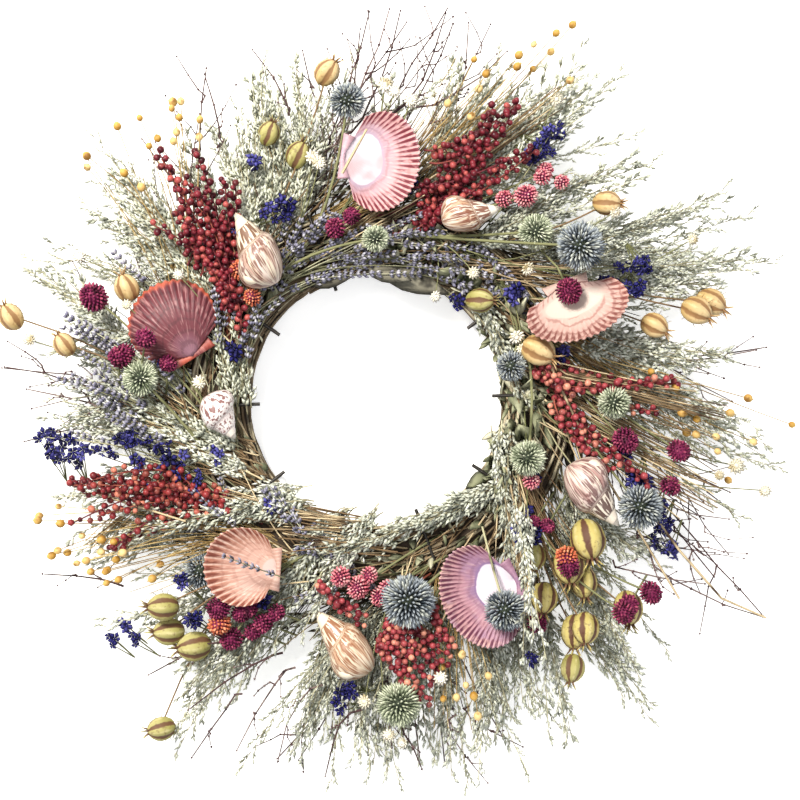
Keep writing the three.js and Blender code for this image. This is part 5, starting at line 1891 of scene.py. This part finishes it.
@dataclass(frozen=True)
class ScallopFinish:
    """The colours of a scallop: its bowl and the bowl's border, body, rim, streaks, back and pale ribs."""

    name: str
    bowl: str
    border: str
    body: str
    rim: str
    streak: str
    back: str
    pale: str
    crest: float = 0.3
    start: float = 0.45
    rings: float = 0.22

    def material(self) -> Material:
        """Build the material.

        Returns:
            The material.
        """
        paint = Paint(self.name)
        along, rib, inside, bowl, fan = (paint.attribute(mark) for mark in Scallops.MARKS)
        wobble = paint.sway(60, 3.0, 0.3)
        share = paint.math("MULTIPLY_ADD", wobble, 0.5, along)
        out = paint.math("ADD", bowl, wobble)
        rays = paint.marks(4.0, (fan, 46.0), (along, 5.0))
        deep = paint.math("MULTIPLY", paint.math("SUBTRACT", 1.0, rib), paint.ramp(share, self.start, 1.0))
        grooves = paint.math("MULTIPLY", paint.ramp(deep, 0.25, 0.55), paint.ramp(rays, 0.36, 0.5))
        rings = paint.math("SINE", paint.math("MULTIPLY", paint.math("ADD", along, wobble), 44.0))
        rings = paint.ramp(rings, 0.2, 1.0, self.rings)
        fine = paint.ramp(rays, 0.52, 0.68, 0.5)
        body = paint.layers(
            self.body, (paint.ramp(share, 0.78, 1.0), self.rim),
            (paint.ramp(share, 0.78, 0.45, 0.7), self.border),
            (paint.ramp(rib, 0.55, 1.0, self.crest), self.pale),
            (paint.ramp(paint.noise(55), 0.5, 0.66, 0.5), self.border),
            (fine, self.pale), (grooves, self.streak), (rings, self.streak))
        shown_side = paint.layers(
            self.bowl, (paint.ramp(paint.noise(22), 0.5, 0.66, 0.65), self.body),
            (paint.ramp(out, 0.93, 1.0), self.border), (paint.ramp(out, 1.0, 1.12), body))
        back = paint.layers(
            self.border, (paint.ramp(share, 0.0, 0.4), self.back), (rings, self.streak),
            (paint.ramp(rib, 0.45, 0.9, 0.6), self.streak), (paint.ramp(rib, 0.3, 0.1, 0.5), self.pale),
            (fine, self.pale), (paint.ramp(share, 0.93, 1.0), self.rim))
        return paint.done(paint.mix(inside, back, shown_side), rays, 0.35, Roughness=0.55)


@dataclass(frozen=True)
class ScallopPlace:
    """A scallop: its place and size, the way it opens, its tilt, the side that shows, its ribs and bowl."""

    slot: str
    at: tuple[float, float, float]
    size: float
    wide: float
    opens: float
    finish: ScallopFinish
    ribs: int = 21
    bowl: tuple[float, float, float] = (0.34, 0.28, 0.36)
    tilt: float = 0.0
    inside: bool = True
    relief: float = 0.008

    def matrix(self) -> Matrix:
        """Give the move from the hinge's own axes.

        Returns:
            The move.
        """
        return (Matrix.Translation(self.at) @ Matrix.Rotation(math.radians(self.opens - 90), 4, "Z")
                @ Matrix.Rotation(math.radians(self.tilt), 4, "X")
                @ Matrix.Rotation(math.pi if self.inside else 0.0, 4, "Y")
                @ Matrix.Translation((0, -0.5 * self.size, -0.1 * self.size)))


class Scallops:
    """Fan shells with ribs, a waved rim, a smooth bowl inside and two wings at the hinge.

    Every corner carries how far it is from the hinge, how high on a rib, whether it is inside, how far from
    the bowl's middle, and where it is across the fan.
    """

    MARKS = ("along", "rib", "inside", "bowl", "fan")
    FINE = 4
    ROWS = 26
    HALF_FAN = math.radians(68)
    DOME = 0.19
    THICK = 1.5
    SMOOTH = 0.25
    PLACES = {
        "scallop_top": ScallopPlace("scallop_pink", (4, 176, 84), 57, 0.65, -8, ScallopFinish(
            "scallop_top_shell", "dad0d6", "b09aaa", "bf8f90", "cc9c98", "6c2430", "a9707a", "dcbab6",
            start=0.4), 31, (0.28, 0.25, 0.34), relief=0.0015),
        "scallop_left": ScallopPlace("scallop_red", (-151, 58, 80), 60, 0.56, 122, ScallopFinish(
            "scallop_left_shell", "cdb9c0", "926a78", "9c4e56", "b4563e", "341016", "662a32", "b28482",
            rings=0.35), 24, inside=False, relief=0.011),
        "scallop_bottom_left": ScallopPlace("scallop_peach", (-99, -123, 82), 55, 0.53, 176, ScallopFinish(
            "scallop_bottom_left_shell", "c4aaa2", "c09c8e", "a87866", "ac705a", "7a4032", "b07e66", "dfc4b4",
            0.9, 0.62), 24, (0.04, 0.18, 0.14)),
        "scallop_bottom": ScallopPlace("scallop_pink", (78, -145, 80), 58, 0.68, 205, ScallopFinish(
            "scallop_bottom_shell", "d8ced8", "84698e", "b08088", "c89e96", "602e42", "946470", "c8a4a8",
            0.25), 36, (0.28, 0.25, 0.34), relief=0.0015),
        "scallop_right": ScallopPlace("scallop_pink", (149, 64, 84), 59, 0.65, -69, ScallopFinish(
            "scallop_right_shell", "c8b8ac", "c8aca0", "c09c92", "bd9084", "7c4640", "b88c84", "d6bab0",
            rings=0.5), 26, (0.3, 0.16, 0.4), 40, relief=0.005),
    }

    def valve(self, name: str, place: ScallopPlace) -> Carved:
        """Make the fan, with its hinge at the origin, opening towards +Y.

        Args:
            name: the node that it stands for.
            place: its size and form.

        Returns:
            The form.
        """
        form = Carved(name + "_fine", *self.MARKS)
        size, wide = place.size, place.wide
        middle, deep, broad = place.bowl
        spans = place.ribs * self.FINE
        peaks, layers = [], []
        for lift, inside in ((0.0, 1.0), (self.THICK, 0.0)):
            peak = Vector((0, 0, self.DOME * size * 0.25 + lift))
            peaks.append(form.corner(peak, 0.0, 0.5, inside, middle / deep, 0.5))
            rows = []
            for r in range(self.ROWS):
                share = ((r + 1) / self.ROWS) ** 0.9
                row = []
                for i in range(spans + 1):
                    fan = 2 * (i / spans) - 1
                    sine, cosine = math.sin(self.HALF_FAN * fan), math.cos(self.HALF_FAN * fan)
                    oval = wide * wide * cosine / (wide * wide * cosine * cosine + 0.25 * sine * sine)
                    wave = math.cos(TURN * i / self.FINE)
                    waved = max(0.0, share - self.SMOOTH) / (1 - self.SMOOTH)
                    reach = size * oval * share * (1 + 0.014 * wave * waved)
                    dome = self.DOME * size * (1 - share ** 2) * (0.25 + 2.2 * share) * (1 - 0.7 * fan * fan)
                    rib = place.relief * size * share * wave * waved
                    edge = 0.8 if lift and r == self.ROWS - 1 else 1.0
                    spot = Vector((reach * sine, reach * cosine, dome + rib + lift * edge))
                    bowl = math.hypot((spot.y / size - middle) / deep, spot.x / size / broad)
                    row.append(form.corner(spot, share, 0.5 + 0.5 * wave * waved, inside, bowl, i / spans))
                rows.append(row)
            form.faces += fanned(rows[0][::-1], peaks[-1], False) + walls(rows, False)
            layers.append(rows)
        form.faces += walls([rows[-1] for rows in layers], False)
        for edge in (0, spans):
            sides = [[peak] + [row[edge] for row in rows] for peak, rows in zip(peaks, layers)]
            form.faces += walls(sides, False)
        self.wings(form, size, 0.55 if place.inside else 0.96)
        return form

    def wings(self, form: Carved, size: float, tone: float) -> None:
        """Add the hinge's two wings as one ribbed plate, narrow in its middle.

        Args:
            form: the shell.
            size: the shell's size.
            tone: where on the fan its colour comes from.
        """
        steps = 24
        layers = []
        for lift in (0.0, 1.4):
            rows = []
            for row_share in (0.0, 0.5, 1.0):
                row = []
                for i in range(steps + 1):
                    fan = 2 * i / steps - 1
                    far = 0.03 + 0.09 * max(0.0, abs(fan) - 0.2) / 0.8
                    wave = math.cos(math.pi * i)
                    x, y = fan * (0.3 - 0.03 * row_share), (far + 0.03) * row_share - 0.03
                    spot = Vector((x * size, y * size, (0.03 + 0.004 * wave) * size + lift))
                    row.append(form.corner(spot, tone, 0.6 + 0.2 * wave, 1.0 - min(lift, 1.0), 1.5,
                                           0.5 + 0.1 * fan))
                rows.append(row)
            layers.append(rows)
            form.faces += walls(rows, False)
        for end in (0, -1):
            form.faces += walls([rows[end] for rows in layers], False)
            form.faces += walls([[row[end] for row in rows] for rows in layers], False)

    def build(self) -> None:
        """Build the five shells."""
        for name, place in self.PLACES.items():
            form = self.valve(name, place)
            form.settle(place.matrix(), name)
            finished(form.piece(place.finish.material()), [name])


@dataclass(frozen=True)
class SnailFinish:
    """The colours of a snail shell: its ground, the streaks down its whorls, its blotches and smooth tip."""

    name: str
    ground: str
    blush: str
    streak: str
    blotch: str
    tip: str
    tip_to: float = 0.46
    spotted: bool = False
    bold: float = 0.35

    def material(self) -> Material:
        """Build the material.

        Returns:
            The material.
        """
        paint = Paint(self.name)
        along, side, whorl = (paint.attribute(mark) for mark in Snails.MARKS)

        def drawn(long: float, wide: float, low: float, high: float, most: float) -> Socket:
            """Draw marks by how closely they follow each other along and across the whorl."""
            return paint.ramp(paint.marks(2.0, (along, long), (side, wide)), low, high, most)

        body = paint.mix(drawn(16.0, 1.4, 0.4, 0.6, 1.0), self.ground, self.blush)
        if self.spotted:
            body = paint.mix(drawn(30.0, 8.0, 0.53, 0.57, 0.9), body, self.blotch)
        else:
            streaks = (drawn(58.0, 3.2, 0.5, 0.57, 0.85), drawn(26.0, 2.0, 0.55, 0.6, 0.85))
            middle = paint.mix(drawn(34.0, 1.3, 0.46, 0.5, 0.9), self.tip, self.blotch)
            body = paint.layers(
                body, (paint.math("MAXIMUM", *streaks), self.streak),
                (drawn(22.0, 1.2, 0.53, 0.6, self.bold), self.blotch),
                (drawn(70.0, 1.8, 0.54, 0.6, 0.85), self.tip))
            body = paint.mix(paint.ramp(whorl, 0.7, 0.74), middle, body)
        body = paint.mix(paint.ramp(whorl, self.tip_to - 0.03, self.tip_to + 0.03), self.tip, body)
        body = paint.mix(paint.ramp(side, 0.06, 0.0, 0.6), body, self.blotch)
        threads = paint.math("SINE", paint.math("MULTIPLY", along, 150.0))
        return paint.done(body, threads, 0.1, Roughness=0.42, Coat_Weight=0.1)


@dataclass(frozen=True)
class SnailPlace:
    """A snail shell: its place and length, its turns, and the way from its tip to its foot."""

    at: tuple[float, float, float]
    length: float
    width: float
    points: float
    finish: SnailFinish
    slot: str = "snail_striped"

    def matrix(self) -> Matrix:
        """Give the move from the shell's own axes.

        Returns:
            The move.
        """
        axis = polar(self.points, 1)
        return (Matrix.Translation(self.at) @ UP.rotation_difference(axis).to_matrix().to_4x4()
                @ Matrix.Rotation(math.radians(self.points - 90), 4, "Z")
                @ Matrix.Translation((0, 0, -0.55 * self.length)))


class Snails:
    """Coiled shells with round whorls that grow by the same share every turn, and an open mouth.

    WHORL is a whorl's section as radius and height, SHOULDER the last one's, and ROUND its arc to the foot.
    """

    MARKS = ("along", "across", "whorl")
    MOUTH = ((0.06, 0.0), (0.16, 0.03), (0.3, 0.09), (0.5, 0.16))
    TURNS = 3
    GROWTH = 2.1
    STEPS = 56
    FOOT = 1.75
    WHORL = (
        (0.46, 1.0), (0.5, 1.03), (0.545, 1.1), (0.585, 1.18), (0.625, 1.28), (0.67, 1.39), (0.72, 1.51),
        (0.775, 1.64), (0.835, 1.79), (0.9, 1.94), (0.966, 2.1),
    )
    SHOULDER = ((0.46, 1.0), (0.5, 1.03), (0.545, 1.1), (0.585, 1.18), (0.605, 1.27), (0.61, 1.36))
    ROUND = (0.2, 0.4, 0.6, 0.8, 0.93)
    PLACES = {
        "snail_shell_left": SnailPlace((-87, 110, 92), 62, 1.0, -60, SnailFinish(
            "snail_left_shell", "ddcdc0", "b89888", "6e4236", "623418", "e2d6be", 0.4)),
        "snail_shell_top": SnailPlace((69, 136, 90), 46, 1.07, 193, SnailFinish(
            "snail_top_shell", "dfcdb4", "c09a7c", "804630", "743a22", "e6dece", 0.42, bold=0.85)),
        "snail_shell_spotted": SnailPlace((-116, -12, 78), 40, 1.25, 125, SnailFinish(
            "snail_spotted_shell", "ebe6e0", "e0d4d0", "8a6a78", "743e3a", "e6ded2", 0.3, True),
            "snail_spotted"),
        "snail_shell_right": SnailPlace((159, -69, 88), 60, 1.03, 130, SnailFinish(
            "snail_right_shell", "d8c2b8", "b08a82", "6c4440", "4a221c", "e6dac8", 0.36)),
        "snail_shell_bottom": SnailPlace((-23, -181, 90), 64, 0.95, -47, SnailFinish(
            "snail_bottom_shell", "e0cfb4", "c49e80", "8c5838", "8c5228", "e6dac2", 0.44, bold=0.5)),
    }

    def body(self, grown: float, length: float) -> list[tuple[float, float]]:
        """Give the last whorl's section: its shoulder, then an arc down to the foot.

        Args:
            grown: how large the shell is there.
            length: how far down its foot is.

        Returns:
            Radius and height of each place.
        """
        section = [(radius * grown, height * grown) for radius, height in self.SHOULDER]
        wide, high = section[-1]
        for share in self.ROUND:
            turn = 0.5 * math.pi * share
            section.append((wide * math.cos(turn), high + (length - high) * math.sin(turn)))
        return section

    def shell(self, name: str, place: SnailPlace) -> Carved:
        """Make the coil along +Z, from its tip at the origin.

        Args:
            name: the node that it stands for.
            place: its size and form.

        Returns:
            The form.
        """
        form = Carved(name + "_coiled", *self.MARKS)
        end = self.TURNS * self.STEPS
        last = len(self.WHORL) - 1
        unit = place.length / (self.FOOT * self.GROWTH ** self.TURNS)
        foot = form.corner(Vector((0, 0, place.length)), self.TURNS, 1.0, 1.0)
        apex = form.corner(Vector((0, 0, 0.45 * unit)), 0.0, 0.5, 0.0)
        rows: list[list[int]] = []
        for k in range(end + 1):
            grown = unit * self.GROWTH ** (k / self.STEPS)
            turn = TURN * k / self.STEPS
            to_body = min(1.0, max(0.0, (k - end + self.STEPS) / (0.3 * self.STEPS)))
            row = []
            for i, ((wide, high), late) in enumerate(zip(self.WHORL, self.body(grown, place.length))):
                if i == last and k <= end - self.STEPS:
                    break
                radius, height = (a * grown + (b - a * grown) * to_body for a, b in zip((wide, high), late))
                radius *= place.width
                spot = Vector((radius * math.cos(turn), radius * math.sin(turn), height))
                row.append(form.corner(spot, k / self.STEPS, i / last, k / end))
            rows.append(row)
        for lower, upper in zip(rows, rows[self.STEPS:]):
            lower.append(upper[0])
        form.faces += walls(rows, False) + fanned([row[-1] for row in rows[end - self.STEPS:]], foot, False)
        form.faces += fanned([row[0] for row in rows[self.STEPS::-1]], apex, False)
        form.faces += fanned(rows[0], apex, False)
        self.mouth(form, [foot] + rows[end][::-1], place.length)
        return form

    def mouth(self, form: Carved, lip: list[int], length: float) -> None:
        """Close the open end with a hollow that goes back into the shell.

        Args:
            form: the shell.
            lip: the corners of its open end.
            length: the shell's length.
        """
        middle = sum((form.spots[i] for i in lip), Vector()) / len(lip)
        inward = UP.cross(Vector((middle.x, middle.y, 0))).normalized() * length
        rings = [lip]
        for share, depth in self.MOUTH:
            spots = [form.spots[corner].lerp(middle, share) - inward * depth for corner in lip]
            rings.append([form.corner(spot, 0.0, 0.6, 0.2) for spot in spots])
        throat = form.corner(middle - inward * 0.2, 0.0, 0.6, 0.2)
        form.faces += walls(rings) + fanned(rings[-1], throat)

    def build(self) -> None:
        """Build the five shells."""
        for name, place in self.PLACES.items():
            form = self.shell(name, place)
            form.settle(place.matrix(), name)
            finished(form.piece(place.finish.material()), [name])


class Base:
    """The wire frame and the ring of bound stems. A clamp's way is in radius and height."""

    SEED = 900
    STEPS = 120
    STEMS = 300
    CLAMP = (
        (92, 35.6), (92.6, 20), (93.0, 6), (95, 2.2), (99, 1.5), (120, 1.5), (143, 1.5), (147.5, 2.2),
        (149.2, 6), (149.2, 25), (149.2, 41), (147.6, 45), (143, 45.8), (115, 46.0), (87, 46.2))

    def wires(self) -> None:
        """Build the wire ring and its clamps from round wire."""
        growth = Growth(self.SEED)
        around = [polar(i * 360 / self.STEPS, RING.wire_radius, 1.8) for i in range(self.STEPS + 1)]
        growth.stem(around, RING.wire, RING.wire, 0.2)
        for i in range(RING.clamps):
            angle = RING.first_clamp + 360 / RING.clamps * i
            growth.stem([polar(angle, radius, height) for radius, height in self.CLAMP], 1.3, 1.3, 0.2)
        PLANT.grow(growth, "wire_ring_and_clamps", "wire", "wire_steel", nodes=["wire_frame"], sides=10)

    def bound(self) -> None:
        """Lay stems round the ring, each along an arc of it, and give the ring itself a dark stem colour that
        is partly painted shade.
        """
        growth = Growth(self.SEED + 10)
        chance = growth.chance
        for _ in range(self.STEMS):
            start = chance.uniform(0, 360)
            arc = chance.uniform(22, 70)
            around = chance.uniform(-35, 215)
            drift = chance.gauss(0, 16)
            lift = chance.uniform(0.4, 2.6)
            places = [
                RING.on_surface(start - arc * t / 9, around + drift * t / 9, lift + chance.gauss(0, 0.3))
                for t in range(10)]
            growth.stem(places, chance.uniform(0.8, 1.9), chance.uniform(0.5, 1.2), chance.random())
        PLANT.grow(growth, "bound_stems", "bound_stems", "bound_stem")
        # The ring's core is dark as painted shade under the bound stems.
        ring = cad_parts["stem_ring"]
        ring.data.materials.clear()
        ring.data.materials.append(FINISH["dark_stem"])

    def build(self) -> None:
        """Build both."""
        self.wires()
        self.bound()


class Leaves:
    """Dried leaves and straw ends that stick out of the bound stems at the hole's edge and among the flowers.

    A patch is from and to what angle, how many leaves and the longest. A bundle is its start, its end, its
    height and how many straws.
    """

    LEAF = blade("dry_leaf", 0.5, 0.03, 0.5, 5)
    SEED = 950
    ENDS = 120
    PATCHES = ((0, 360, 80, 16), (-40, 34, 170, 23), (34, 84, 60, 20), (-100, -40, 60, 17))
    BROAD = (
        ((0, 99, 47), (63, 76, 49), 21), ((-8, 98, 50), (30, 88, 54), 14), ((-50, 86, 48), (-14, 93, 52), 12),
    )
    BUNDLES = (
        (-10, -94, -128, -76, 56, 28), (20, -108, -74, -104, 58, 18), (-92, -44, -196, 6, 52, 26),
        (-84, -58, -160, -36, 56, 18), (-96, 30, -150, 96, 56, 20), (-92, 62, -126, 140, 60, 16),
        (96, -44, 112, -150, 58, 22), (104, -40, 142, -140, 56, 16), (92, 66, 190, 20, 52, 16),
        (60, 100, 160, 90, 58, 16), (-50, 104, 60, 176, 56, 14), (30, -110, 20, -200, 50, 14),
        (110, 20, 250, -60, 50, 24), (-20, 130, 60, 230, 44, 16), (40, 150, 150, 230, 46, 20),
        (106, 30, 262, -14, 62, 26), (124, -8, 256, -84, 58, 18), (-150, -50, -214, -116, 46, 14),
    )
    STRAWS = (
        ((-24, 165, 90), (-6, 196, 98)), ((64, -135, 60), (46, -170, 62)), ((114, -120, 62), (112, -160, 60)),
        ((-206, -70, 58), (-141, -90, 62)), ((127, 30, 66), (160, -40, 66), (226, -148, 56)),
        ((210, -90, 56), (226, -112, 56), (258, -148, 52), (292, -163, 48)),
    )

    def leaves(self) -> None:
        """Build the leaves."""
        growth = Growth(self.SEED)
        chance = growth.chance
        for low, high, count, longest in self.PATCHES:
            for _ in range(count):
                angle = chance.uniform(low, high)
                place = RING.on_surface(angle, chance.uniform(70, 165), chance.uniform(0, 6))
                way = clockwise(place) * chance.uniform(-0.4, 1.4)
                way += outwards(place) * chance.uniform(-0.35, 0.7)
                way.z = chance.uniform(-0.1, 0.9)
                long = chance.uniform(0.45, 1.0) * longest
                size = (0.4 * long, chance.uniform(0.35, 0.6) * long, long)
                growth.put(Kind.FIRST, place, way.normalized(), size)
        for start, end, wide in self.BROAD:
            way = Vector(end) - Vector(start)
            size = (6, wide, way.length)
            growth.put(Kind.SECOND, Vector(start), way.normalized(), size, roll=0.25 * TURN)
        forms = [(self.LEAF, "green_leaf"), (self.LEAF, "broad_leaf")]
        PLANT.grow(growth, "dry_leaves", "bound_stems", "straw_stem", forms)

    def straws(self) -> None:
        """Build the loose stems."""
        growth = Growth(self.SEED + 10)
        chance = growth.chance
        for _ in range(self.ENDS):
            angle = chance.uniform(0, 360)
            root = RING.on_surface(angle, chance.uniform(20, 175), 1)
            tip = polar(angle - chance.uniform(14, 50), chance.uniform(104, 190), chance.uniform(38, 60))
            growth.bowed(root, tip, 0.3, 8, chance.uniform(0.5, 1.0), 0.4, chance.random())
        for x, y, tip_x, tip_y, height, count in self.BUNDLES:
            side = Vector((tip_x - x, tip_y - y, 0)).cross(UP).normalized()
            for _ in range(count):
                near = Vector((x, y, height - chance.uniform(2, 20))) + side * chance.gauss(0, 5)
                far = Vector((tip_x, tip_y, height + chance.uniform(-8, 4))) + side * chance.gauss(0, 11)
                last = near.lerp(far, chance.uniform(0.7, 1.0))
                near = near.lerp(far, chance.uniform(-0.04, 0.22))
                growth.bowed(near, last, chance.gauss(0.02, 0.03), 6, chance.uniform(0.5, 0.9), 0.4,
                             chance.random())
        for spots in self.STRAWS:
            growth.stem([Vector(spot) for spot in spots], 1.1, 0.8, 0.8)
        PLANT.grow(growth, "straw_ends", "bound_stems", "straw_stem")

    def build(self) -> None:
        """Build the leaves and the loose stems."""
        self.leaves()
        self.straws()


class Studio:
    """The camera straight above the wreath, soft light and a pale floor."""

    DISTANCE = 1.545
    AIM = Vector((3.3 * MM, -3.45 * MM, 0.0))
    LIGHTS = (
        ("key", (-0.8, 1.0, 1.9), 0.6, 92.0, "fffaf2"), ("fill", (1.2, -0.7, 1.8), 1.6, 12.0, "f2f6ff"),
        ("top", (0.0, 0.0, 2.6), 1.2, 14.0, "ffffff"),
    )
    HALF_FLOOR = 9.0

    def camera(self) -> None:
        """Look straight down, as the photo does."""
        data = bpy.data.cameras.new("camera")
        data.lens = 90.0
        data.sensor_width = 36.0
        data.dof.use_dof = False
        made = shown("camera", data)
        made.location = self.AIM + UP * self.DISTANCE
        bpy.context.scene.camera = made

    def light(self, name: str, place: Sequence[float], size: float, power: float, colour: str) -> None:
        """Add a square area light that faces the wreath.

        Args:
            name: its name.
            place: where it is.
            size: its side.
            power: its power.
            colour: its colour, in six hexadecimal digits.
        """
        data = bpy.data.lights.new(name, "AREA")
        data.size = size
        data.energy = power
        data.color = hue(colour)[:3]
        made = shown(name, data)
        made.location = place
        made.rotation_euler = (self.AIM - Vector(place)).to_track_quat("-Z", "Y").to_euler()

    def floor(self) -> None:
        """Lay a white floor that glows a little, so that hardly any shadow shows on it."""
        half = self.HALF_FLOOR
        corners = [(x * half, y * half, 0) for x, y in ((-1, -1), (1, -1), (1, 1), (-1, 1))]
        mesh = bpy.data.meshes.new("floor")
        mesh.from_pydata(corners, [], [(0, 1, 2, 3)])
        paper = Paint("floor_paper")
        paper.feed(paper.tree.nodes["Principled BSDF"], {
            "Base Color": hue("f4f4f2"), "Roughness": 0.9, "Emission Color": hue("ffffff"),
            "Emission Strength": 0.55})
        mesh.materials.append(paper.material)
        shown("floor", mesh)

    def build(self) -> None:
        """Set everything up."""
        self.camera()
        self.floor()
        for light in self.LIGHTS:
            self.light(*light)
        world = bpy.data.worlds.new("studio_air")
        world.use_nodes = True
        air = world.node_tree.nodes["Background"]
        NodeTree(world.node_tree).feed(air, {"Color": hue("f6f8ff"), "Strength": 0.26})
        bpy.context.scene.world = world
        bpy.context.scene.view_settings.view_transform = "Standard"


def main() -> None:
    """Dress the frame, set the studio up and note the sizes."""
    logging.basicConfig(level=logging.INFO, format="%(message)s")
    for part in (Base(), Undergrowth(), Leaves(), Artemisia(), Twigs(), Flax(), Pepperberries(), Lavender(),
                 Larkspur(), SeedPods(), RoundHeads(), WhiteFlowers(), Scallops(), Snails()):
        LOG.info("building %s", type(part).__name__)
        part.build()
    Studio().build()


if __name__ == "__main__":
    main()
